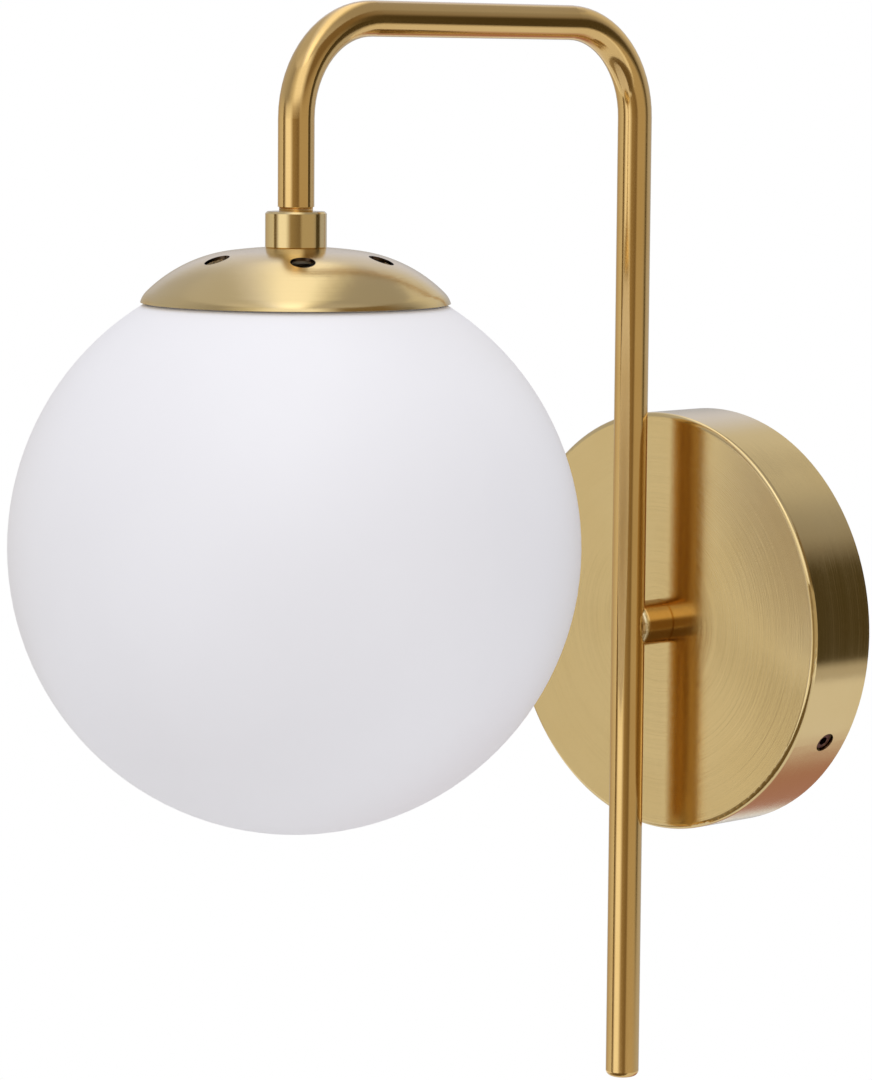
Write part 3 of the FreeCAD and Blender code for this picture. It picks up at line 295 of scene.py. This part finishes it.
def within(finish, value, limits):
    # 1 between the two middle limits, and 0 outside the outer two
    start, full, thin, end = limits
    return finish.stretch(value, start, full) * finish.stretch(value, thin, end, 1.0, 0.0)


def addWorld():
    world = bpy.data.worlds.new("studioWorld")
    bpy.context.scene.world = world
    world.use_nodes = True
    sky = NodeSet(world.node_tree)
    seen = sky.node("Background", i0=(1, 1, 1, 1), i1=1.0)
    light = sky.node("Background", i0=opaque(studio["skyColour"]), i1=studio["skyLight"])
    isCamera, isGlossy, isThrough = sky.rays()
    direct = isCamera.maths("MAXIMUM", isGlossy).maths("MAXIMUM", isThrough)
    mix = sky.node("MixShader", i0=direct, i1=sky.out(light), i2=sky.out(seen))
    sky.node("OutputWorld", i0=sky.out(mix))


def addFloor():
    bpy.ops.mesh.primitive_plane_add(size=studioFloor["size"], location=overCentre(studioFloor["height"]))
    floor = bpy.context.object
    floor.name = "studioFloor"
    finish = Finish("studioFloor")
    paint = finish.node(
        "BsdfPrincipled", Base_Color=opaque(studioFloor["colour"]), Roughness=studioFloor["rough"],
    )
    glow = finish.node("Emission", i0=(1, 1, 1, 1), i1=1.0)
    isCamera, isGlossy, isThrough = finish.rays()
    seen = isCamera.maths("MAXIMUM", isThrough) * studioFloor["seen"]
    share = seen.maths("MAXIMUM", isGlossy * studioFloor["mirrored"])
    mix = finish.node("MixShader", i0=share, i1=finish.out(paint), i2=finish.out(glow))
    floor.data.materials.append(finish.close(mix))


def addRing():
    low, high = studio["ringLow"], studio["ringHigh"]
    bpy.ops.mesh.primitive_cylinder_add(
        vertices=96, radius=studio["ringRadius"], depth=high - low, end_fill_type="NOTHING",
        location=overCentre((high + low) / 2),
    )
    ring = bpy.context.object
    ring.name = "reflectionRing"
    bpy.ops.object.transform_apply(location=True, rotation=True, scale=True)
    finish = Finish("reflectionRing")
    x, y, z = finish.axes(studio["centre"])
    turn = y.maths("ARCTAN2", x) - math.radians(studio["cameraSide"])  # 0 at the camera
    share = (turn / (2 * math.pi) + 1.5).maths("FRACT")  # one half at the camera
    ramps = []
    for bands in (lowBands, highBands):
        stops = [((angle + 180) / 360, tones[tone]) for angle, tone in bands]
        ramps.append(finish.out(finish.node("ValToRGB", {"stops": stops}, i0=share)))
    colour = finish.blend(finish.stretch(z, studio["lowTop"], studio["highFoot"]), *ramps)
    degrees = (share - 0.5) * 360.0
    shade = within(finish, degrees, flag["across"]) * within(finish, z, flag["up"])
    makeCard(ring, finish, finish.blend(shade, colour, flag["colour"]))


def addCeiling():
    bpy.ops.mesh.primitive_circle_add(
        vertices=64, radius=studio["ringRadius"], fill_type="NGON", location=overCentre(studio["ringHigh"]),
    )
    card = bpy.context.object
    card.name = "reflectionCeiling"
    bpy.ops.object.transform_apply(location=True, rotation=True, scale=True)
    finish = Finish("reflectionCeiling")
    x, y, z = finish.axes(lampAxis)
    side = math.radians(studio["cameraSide"])
    towards = x * math.cos(side) + y * math.sin(side)
    right = y * math.cos(side) - x * math.sin(side)
    reach = ceiling["reach"]
    stops = [((metres + reach) / (2 * reach), tones[tone]) for metres, tone in ceiling["bands"]]
    ramp = finish.node("ValToRGB", {"stops": stops}, i0=(right + reach) / (2 * reach))
    level = finish.stretch(towards, *ceiling["towards"], *ceiling["level"])
    lit = finish.node("VectorMath", {"operation": "SCALE"}, i0=finish.out(ramp), Scale=level)
    makeCard(card, finish, finish.out(lit))


lowCards = [
    {   # behind and below, where the canopy's edge mirrors it
        "name": "reflectionLow", "size": (1.8, 1.4), "place": (0.1, 0.6, -0.58),
        "spot": (-0.20, 0.62, -0.58), "spread": (0.22, 0.5),
        "near": (0.37, 0.20, 0.165), "far": (0.66, 0.65, 0.65),
    },
    {   # in front and below, where the stub's underside mirrors it
        "name": "reflectionFront", "size": (1.9, 1.0), "place": (0.38, -0.64, -0.57),
        "spot": (0.42, -0.72, -0.57), "spread": (0.6, 0.95),
        "near": (0.14, 0.10, 0.05), "far": (0.30, 0.25, 0.18),
    },
]


def addLowCards():
    for values in lowCards:
        bpy.ops.mesh.primitive_plane_add(size=1.0, location=values["place"])
        card = bpy.context.object
        card.name = values["name"]
        card.scale = (*values["size"], 1)
        bpy.ops.object.transform_apply(location=True, rotation=True, scale=True)
        finish = Finish(values["name"])
        x, y, z = finish.axes(values["spot"])
        away = finish.stretch((x * x + y * y) ** 0.5, *values["spread"])
        makeCard(card, finish, finish.blend(away, values["near"], values["far"]))


lamps = [
    {"name": "topSoftbox", "place": (0.05, -0.35, 1.3), "size": (1.4, 1.4), "watts": 4.2},
    {"name": "frontSoftbox", "place": (0.9, -1.15, 0.35), "size": (0.9, 1.4), "watts": 1.8},
]


def addLamps():
    for lamp in lamps:
        data = bpy.data.lights.new(lamp["name"], "AREA")
        data.shape = "RECTANGLE"
        data.size, data.size_y = lamp["size"]
        data.energy = lamp["watts"]
        light = bpy.data.objects.new(lamp["name"], data)
        bpy.context.collection.objects.link(light)
        light.location = lamp["place"]
        aim = Vector(studio["centre"]) - Vector(lamp["place"])
        light.rotation_euler = aim.to_track_quat("-Z", "Y").to_euler()
        light.visible_glossy = False


addWorld()
addFloor()
addRing()
addCeiling()
addLowCards()
addLamps()
print("studio set")


# finishes: a noise is given as its scale, detail and roughness

noiseSpan = (0.3, 0.7)  # nearly all of a noise lies between these

brass = {
    "turned": ((0.77, 0.60, 0.31), (0.71, 0.53, 0.24)),  # cap, collar and canopy
    "drawn": ((0.79, 0.55, 0.235), (0.70, 0.455, 0.16)),  # the bent tube, a little redder
    # painted shade: a darker, redder copy of the brass for the stub, which sits in the shaded corner
    # between plate and rod
    "stub": ((0.68, 0.44, 0.165), (0.56, 0.33, 0.10)),
    # painted shade: near black for the cap's vent walls, standing for the dark inside the holes
    "ventShade": (0.07, 0.045, 0.028),
    "cloud": (30.0, 2.0, 0.5),
    "cloudSpan": (0.38, 0.66),
    "tint": 0.35,  # share that the cloud has in the colour, and the marks have as well
    "markStrength": 0.6,
}


def finishBrass(name, marksOf, colours, rough, cut, shadeAt=None):
    # marksOf gives the height of the turned or drawn marks on this piece; the last argument gives where
    # painted shade goes, near black, on the vents' cut walls
    finish = Finish(name)
    height = marksOf(finish)
    cloud = finish.noise(finish.place(), *brass["cloud"])
    tint = finish.stretch(cloud, *brass["cloudSpan"]) * brass["tint"] + height * brass["tint"]
    colour = finish.blend(tint, *colours)
    # painted shade: the vents' walls turn near black
    if shadeAt:
        colour = finish.blend(shadeAt(finish), colour, brass["ventShade"])
    return finish.shade(
        Base_Color=colour, Metallic=1.0,
        Roughness=finish.stretch(cloud * 0.5 + height * 0.5, *noiseSpan, *rough),
        Normal=finish.bump(height, cut, brass["markStrength"]),
    )


marks = {
    "tube": (2600.0, 3.0, 0.7),
    "armTop": (0.1605, 0.1645),  # over these heights the tube's marks change from upright to level
    "canopyFine": (2600.0, 4.0, 0.75),
    "canopyCoarse": (420.0, 2.0, 0.5),
    "canopyShares": (0.7, 0.3),
    "cap": (2200.0, 3.0, 0.7),
    "turned": (3200.0, 3.0, 0.7),
}


def rodMarks(finish):
    # marks run round the tube: by height on the rod and leg, by depth along the top
    x, y, z = finish.axes()
    upright = finish.lines(z, *marks["tube"])
    level = finish.lines(y, *marks["tube"])
    share = finish.stretch(z, *marks["armTop"])
    return upright * (1 - share) + level * share


def canopyMarks(finish):
    # turned on a lathe: rings on the face, and hoops round the edge
    x, y, z = finish.axes()
    away = (x * x + z * z) ** 0.5 + y
    fineShare, coarseShare = marks["canopyShares"]
    fine = finish.lines(away, *marks["canopyFine"])
    coarse = finish.lines(away, *marks["canopyCoarse"])
    return fine * fineShare + coarse * coarseShare


def capMarks(finish):
    x, y, z = finish.axes(lampAxis)
    return finish.lines((x * x + y * y) ** 0.5, *marks["cap"])


def heightMarks(finish):
    x, y, z = finish.axes()
    return finish.lines(z, *marks["turned"])


def depthMarks(finish):
    x, y, z = finish.axes()
    return finish.lines(y, *marks["turned"])


vents = {
    "count": 6,
    "turn": 23.5,  # degrees, from +X to one of them
    "away": 0.0244,  # from the lamp's axis
    "edge": (0.00322, 0.00332),  # just outside the wall, whose radius is 3.2 mm
}


def ventWalls(finish):
    # 1 on the cut walls of the six vents, where painted shade goes, 0 elsewhere
    x, y, z = finish.axes(lampAxis)
    step = 360 / vents["count"]
    count = y.maths("ARCTAN2", x) / math.radians(step) - vents["turn"] / step
    turn = (count + (vents["count"] + 0.5)).maths("FRACT") - 0.5  # 0 at each vent's middle
    turn = turn * math.radians(step)
    away = (x * x + y * y) ** 0.5
    out = away * turn.maths("COSINE") - vents["away"]
    side = away * turn.maths("SINE")
    return finish.stretch((out * out + side * side) ** 0.5, *vents["edge"], 1.0, 0.0)


glass = {
    "centre": (0, lampY, 0.0317),
    "colours": ((0.905, 0.90, 0.93), (0.89, 0.884, 0.915)),
    "cloud": (22.0, 3.0, 0.55),
    "grain": (1400.0, 3.0, 0.6),
    "rough": (0.42, 0.52),
    "cut": 4.0e-6,
    "cutStrength": 0.35,
    "refraction": 1.5,
}


def finishGlass():
    finish = Finish("opalGlass")
    where = finish.place(glass["centre"])
    cloud = finish.noise(where, *glass["cloud"])
    grain = finish.noise(where, *glass["grain"])
    return finish.shade(
        Base_Color=finish.blend(finish.stretch(cloud, *noiseSpan), *glass["colours"]),
        Roughness=finish.stretch(grain, *noiseSpan, *glass["rough"]),
        Normal=finish.bump(grain, glass["cut"], glass["cutStrength"]), IOR=glass["refraction"],
    )


plain = {
    "cloud": (90.0, 3.0, 0.6),
    "grain": (3.0, 0.6),  # after a scale of each finish's own
    "shares": (0.6, 0.4),  # of the cloud and the grain in the colour
    "tintSpan": (0.35, 0.68),
    "roughSpan": (0.3, 0.72),
    "cutStrength": 0.5,
}


def finishPlain(name, light, deep, rough, metal, grain, cut):
    finish = Finish(name)
    cloud = finish.noise(finish.place(), *plain["cloud"])
    fine = finish.noise(finish.place(), grain, *plain["grain"])
    cloudShare, fineShare = plain["shares"]
    tint = finish.stretch(cloud * cloudShare + fine * fineShare, *plain["tintSpan"])
    return finish.shade(
        Base_Color=finish.blend(tint, light, deep), Metallic=metal,
        Roughness=finish.stretch(fine, *plain["roughSpan"], *rough),
        Normal=finish.bump(fine, cut, plain["cutStrength"]),
    )


steel = (0.60, 0.61, 0.62)
steelDark = (0.46, 0.47, 0.49)

# light and deep colour, roughness from and to, metal, scale of the grain, and its depth
plainFinishes = {
    "zinc": (steel, steelDark, (0.24, 0.4), 1.0, 500.0, 5e-6),
    # painted shade: the lock screws sit deep in their holes, and their dark red-brown stands for the shade
    # there
    "shadedHoleScrew": ((0.13, 0.055, 0.045), (0.08, 0.035, 0.03), (0.3, 0.42), 1.0, 500.0, 5e-6),
    "springSteel": ((0.56, 0.57, 0.6), (0.44, 0.46, 0.5), (0.16, 0.28), 1.0, 900.0, 3e-6),
    "tinned": ((0.72, 0.66, 0.52), (0.60, 0.54, 0.40), (0.2, 0.34), 1.0, 600.0, 4e-6),
    "greenScrew": ((0.03, 0.30, 0.10), (0.02, 0.20, 0.07), (0.28, 0.4), 0.6, 600.0, 4e-6),
    "bulbMetal": ((0.72, 0.72, 0.72), (0.60, 0.60, 0.61), (0.2, 0.34), 1.0, 700.0, 4e-6),
    "blockPlastic": ((0.80, 0.79, 0.74), (0.74, 0.73, 0.68), (0.42, 0.55), 0.0, 800.0, 8e-6),
    "bushPlastic": ((0.03, 0.03, 0.032), (0.05, 0.05, 0.052), (0.4, 0.55), 0.0, 800.0, 8e-6),
    "holderPlastic": ((0.84, 0.84, 0.82), (0.79, 0.79, 0.77), (0.38, 0.5), 0.0, 800.0, 8e-6),
    "vitrite": ((0.012, 0.012, 0.016), (0.03, 0.028, 0.035), (0.08, 0.16), 0.0, 500.0, 3e-6),
    "bulbWhite": ((0.86, 0.86, 0.85), (0.82, 0.82, 0.81), (0.22, 0.32), 0.0, 900.0, 3e-6),
    "frosted": ((0.88, 0.88, 0.86), (0.85, 0.85, 0.83), (0.5, 0.62), 0.0, 1200.0, 5e-6),
    "blackInsulation": ((0.015, 0.015, 0.016), (0.03, 0.03, 0.032), (0.28, 0.4), 0.0, 900.0, 4e-6),
    "whiteInsulation": ((0.82, 0.82, 0.80), (0.76, 0.76, 0.74), (0.28, 0.4), 0.0, 900.0, 4e-6),
}

threadLook = {
    "cloud": (160.0, 3.0, 0.6),
    "shares": (0.6, 0.4),  # of the ridge and the cloud in the colour
}

threads = {
    "nippleThread": {
        "colours": (steel, steelDark), "rough": (0.26, 0.4),
        "axis": "y", "centre": (0, 0, 0), "pitch": 0.001, "depth": 0.0004,
    },
    "legThread": {
        "colours": ((0.70, 0.48, 0.22), (0.55, 0.36, 0.14)), "rough": (0.2, 0.32),
        "axis": "z", "centre": lampAxis, "pitch": 0.001, "depth": 0.0003,
    },
}


def finishThread(name, values):
    # a screw thread drawn in the bump: one ridge a pitch, wound round the axis
    finish = Finish(name)
    x, y, z = finish.axes(values["centre"])
    across, up, along = {"y": (x, z, y), "z": (x, y, z)}[values["axis"]]
    turn = up.maths("ARCTAN2", across) / (2 * math.pi)
    wave = (along / values["pitch"] + turn).maths("FRACT")
    ridge = (wave - 0.5).maths("ABSOLUTE") * 2.0
    cloud = finish.noise(finish.place(values["centre"]), *threadLook["cloud"])
    ridgeShare, cloudShare = threadLook["shares"]
    tint = ridge * ridgeShare + cloud * cloudShare
    return finish.shade(
        Base_Color=finish.blend(tint, *values["colours"]), Metallic=1.0,
        Roughness=finish.stretch(cloud, *noiseSpan, *values["rough"]),
        Normal=finish.bump(ridge, values["depth"], 1.0),
    )


earthWire = {
    "centre": (0.027, -0.012, 0.004),
    "colours": ((0.03, 0.30, 0.06), (0.80, 0.68, 0.05)),
    "winding": 900.0,  # radians a metre, which is 7 mm from one stripe to the next
    "stripe": (0.2, 0.4),
    "grain": (900.0, 2.0, 0.5),
    "rough": (0.32, 0.42),
    "cut": 4e-6,
    "cutStrength": 0.4,
}


def finishEarthWire():
    # green with one yellow stripe wound along it
    finish = Finish("earthInsulation")
    x, y, z = finish.axes(earthWire["centre"])
    wave = ((x + y - z) * earthWire["winding"]).maths("SINE")
    grain = finish.noise(finish.place(earthWire["centre"]), *earthWire["grain"])
    return finish.shade(
        Base_Color=finish.blend(finish.stretch(wave, *earthWire["stripe"]), *earthWire["colours"]),
        Roughness=finish.stretch(grain, *noiseSpan, *earthWire["rough"]),
        Normal=finish.bump(grain, earthWire["cut"], earthWire["cutStrength"]),
    )


finishes = {
    "armBrass": finishBrass("armBrass", rodMarks, brass["drawn"], (0.10, 0.18), 2.0e-6),
    "canopyBrass": finishBrass("canopyBrass", canopyMarks, brass["turned"], (0.09, 0.13), 4.0e-5),
    # the cap's vent walls get painted shade
    "capBrass": finishBrass("capBrass", capMarks, brass["turned"], (0.15, 0.21), 3.0e-5, ventWalls),
    "turnedBrass": finishBrass("turnedBrass", heightMarks, brass["turned"], (0.10, 0.18), 2.0e-6),
    # the stub's brass is a shaded copy of the brass: painted shade
    "stubBrass": finishBrass("stubBrass", depthMarks, brass["stub"], (0.14, 0.22), 4.0e-6),
    "opalGlass": finishGlass(),
    "earthInsulation": finishEarthWire(),
}
for name, values in plainFinishes.items():
    finishes[name] = finishPlain(name, *values)
for name, values in threads.items():
    finishes[name] = finishThread(name, values)

nodeFinishes = {
    "canopy": "canopyBrass", "wall_bracket": "zinc", "canopy_lock_screws": "shadedHoleScrew",
    "earth_screw": "greenScrew", "earth_lug": "tinned", "terminal_block": "blockPlastic",
    "terminal_barrels": "tinned", "terminal_screws": "zinc", "arm_stub": "stubBrass",
    "stub_nipple": "nippleThread", "star_washer": "zinc", "earth_tag": "tinned",
    "nipple_nut": "zinc", "wire_bush": "bushPlastic", "arm_tube": "armBrass",
    "arm_end_plug": "armBrass", "leg_nipple": "legThread", "cap_collar": "turnedBrass",
    "vented_cap": "capBrass", "plate_spacer": "zinc", "spring_plate": "zinc", "cap_locknut": "zinc",
    "globe_spring_1": "springSteel", "globe_spring_2": "springSteel", "globe_spring_3": "springSteel",
    "spring_rivets": "zinc", "globe_glass": "opalGlass", "holder_cap": "holderPlastic",
    "holder_body": "holderPlastic", "screw_shell": "turnedBrass", "centre_contact": "tinned",
    "holder_posts": "tinned", "holder_screws": "zinc", "bulb_tip": "tinned", "bulb_seal": "vitrite",
    "bulb_screw_cap": "bulbMetal", "bulb_housing": "bulbWhite", "bulb_diffuser": "frosted",
    "live_wire": "blackInsulation", "neutral_wire": "whiteInsulation", "earth_wire": "earthInsulation",
}

for name, finishName in nodeFinishes.items():
    mesh = nodes[name].data
    mesh.materials.clear()
    mesh.materials.append(finishes[finishName])
print("finishes on", len(nodeFinishes), "nodes")


braze = {
    "radius": 0.0062,  # inside the stub's rim, 6.4 mm
    "back": -0.0327,  # the stub's end
    "front": -0.0341,
    "round": 0.0013,
    "uneven": 0.00005,  # how far the cooled filler is from smooth
    "rim": 1e-4,  # an edge this near the front's rim is rounded
    "cut": (0.00418, -0.0327, 0),  # a plane laid along the rod's side
    "cutWay": (0.934, 0.358, 0),
    "smooth": 50,  # degrees: a sharper edge than this stays sharp
    "colours": ((1.0, 0.87, 0.56), (0.66, 0.50, 0.24)),
    "mottle": (800.0, 3.0, 0.6),
    "mottleSpan": (0.50, 0.66),
    "rough": (0.32, 0.48),
    "pits": 1.2e-4,
    "pitStrength": 0.6,
}


def finishBraze():
    finish = Finish("brazeBrass")
    mottle = finish.noise(finish.place(), *braze["mottle"])
    tint = finish.stretch(mottle, *braze["mottleSpan"])
    return finish.shade(
        Base_Color=finish.blend(tint, *braze["colours"]), Metallic=1.0,
        Roughness=finish.stretch(mottle, *noiseSpan, *braze["rough"]),
        Normal=finish.bump(mottle, braze["pits"], braze["pitStrength"]),
    )


def addBraze():
    # the pale fillet of filler each side of the rod, where it is joined to the stub's end
    bpy.ops.object.select_all(action="DESELECT")
    bpy.ops.mesh.primitive_cylinder_add(
        vertices=72, radius=braze["radius"], depth=braze["back"] - braze["front"],
        location=(0, (braze["back"] + braze["front"]) / 2, 0), rotation=(math.pi / 2, 0, 0),
    )
    piece = bpy.context.object
    piece.name = "stubBrazeRight"
    piece.data.name = piece.name
    bpy.ops.object.transform_apply(location=True, rotation=True, scale=True)
    bpy.ops.object.mode_set(mode="EDIT")
    bpy.ops.mesh.select_all(action="SELECT")
    bpy.ops.mesh.bisect(
        plane_co=braze["cut"], plane_no=braze["cutWay"], clear_inner=True, use_fill=True, threshold=hair,
    )
    bpy.ops.mesh.select_all(action="DESELECT")
    bpy.ops.mesh.select_mode(type="EDGE")
    bpy.ops.object.mode_set(mode="OBJECT")
    mesh = piece.data
    for edge in mesh.edges:
        ends = [mesh.vertices[index].co for index in edge.vertices]
        inFront = all(end.y < braze["front"] + hair for end in ends)
        atRim = all(math.hypot(end.x, end.z) > braze["radius"] - braze["rim"] for end in ends)
        edge.select = inFront and atRim
    bpy.ops.object.mode_set(mode="EDIT")
    bpy.ops.mesh.bevel(offset=braze["round"], segments=6, profile=0.5)
    bpy.ops.transform.vertex_random(offset=braze["uneven"], uniform=0.0, normal=1.0, seed=3)
    bpy.ops.mesh.select_all(action="SELECT")
    bpy.ops.mesh.normals_make_consistent(inside=False)
    bpy.ops.object.mode_set(mode="OBJECT")
    back = max(mesh.polygons, key=lambda face: face.center.y)
    if back.normal.y < 0:  # on so flat a crescent the operator can choose the wrong side
        bpy.ops.object.mode_set(mode="EDIT")
        bpy.ops.mesh.flip_normals()
        bpy.ops.object.mode_set(mode="OBJECT")
    bpy.ops.object.shade_smooth_by_angle(angle=math.radians(braze["smooth"]))
    mesh.materials.append(finishBraze())

    other = piece.copy()
    other.data = mesh.copy()
    other.name = "stubBrazeLeft"
    other.data.name = other.name
    bpy.context.collection.objects.link(other)
    bpy.ops.object.select_all(action="DESELECT")
    other.select_set(True)
    bpy.context.view_layer.objects.active = other
    other.rotation_euler = (0, math.pi, 0)
    bpy.ops.object.transform_apply(location=True, rotation=True, scale=True)
    for each in (piece, other):
        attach(each, "fixture")


addBraze()
print("braze added")


bulbThread = {
    "crest": 0.0130,
    "root": 0.0121,
    "pitch": 0.00363,
    "turns": 6,
    "steps": 48,
    "points": 8,  # along one pitch
    "start": 0.05285,
    "cutLow": 0.0567,  # the thread runs between these heights
    "cutHigh": 0.0742,
    "low": 0.0547,
    "high": 0.0757,
    "runOut": 0.0008,
    "taper": 0.87,  # from the sleeve in to the glass seal
    "smooth": 40,  # degrees
}


def addBulbThread():
    # the cap's round thread: one pitch of its outline, wound up the axis and closed at both ends
    values = bulbThread
    middle = (values["crest"] + values["root"]) / 2
    swing = (values["crest"] - values["root"]) / 2
    outline = []
    for step in range(values["points"] + 1):
        share = step / values["points"]
        radius = middle - swing * math.cos(2 * math.pi * share)
        outline.append((radius, 0, values["start"] + values["pitch"] * share))
    mesh = bpy.data.meshes.new("bulbThread")
    mesh.from_pydata(outline, [(step, step + 1) for step in range(values["points"])], [])
    piece = bpy.data.objects.new("bulbThread", mesh)
    bpy.context.collection.objects.link(piece)
    bpy.ops.object.select_all(action="DESELECT")
    piece.select_set(True)
    bpy.context.view_layer.objects.active = piece
    winding = piece.modifiers.new("winding", "SCREW")
    winding.angle = 2 * math.pi
    winding.screw_offset = values["pitch"]
    winding.iterations = values["turns"]
    winding.steps = values["steps"]
    winding.render_steps = values["steps"]
    bpy.ops.object.modifier_apply(modifier=winding.name)
    piece.location = lampAxis
    bpy.ops.object.transform_apply(location=True, rotation=True, scale=True)
    bpy.ops.object.mode_set(mode="EDIT")
    bpy.ops.mesh.select_all(action="SELECT")
    bpy.ops.mesh.remove_doubles(threshold=hair)
    for cut, end, way, narrow in (
        (values["cutLow"], values["low"], -1, 1.0),
        (values["cutHigh"], values["high"], 1, values["taper"]),
    ):
        runOut = way * values["runOut"]
        bpy.ops.mesh.select_all(action="SELECT")
        bpy.ops.mesh.bisect(
            plane_co=(0, lampY, cut), plane_no=(0, 0, way), clear_outer=True, use_fill=True, threshold=hair,
        )
        bpy.ops.mesh.extrude_region_move(TRANSFORM_OT_translate={"value": (0, 0, runOut)})
        bpy.ops.transform.tosphere(value=1.0, center_override=(0, lampY, cut + runOut))
        bpy.ops.mesh.extrude_region_move(TRANSFORM_OT_translate={"value": (0, 0, end - cut - runOut)})
        bpy.ops.transform.resize(value=(narrow, narrow, 1), center_override=(0, lampY, end))
    bpy.ops.mesh.select_all(action="SELECT")
    bpy.ops.mesh.normals_make_consistent(inside=False)
    bpy.ops.object.mode_set(mode="OBJECT")
    bpy.ops.object.shade_smooth_by_angle(angle=math.radians(values["smooth"]))
    piece.data.materials.append(finishes["bulbMetal"])
    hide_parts("bulb_screw_cap")
    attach(piece, "bulb")


addBulbThread()
print("bulb thread added")
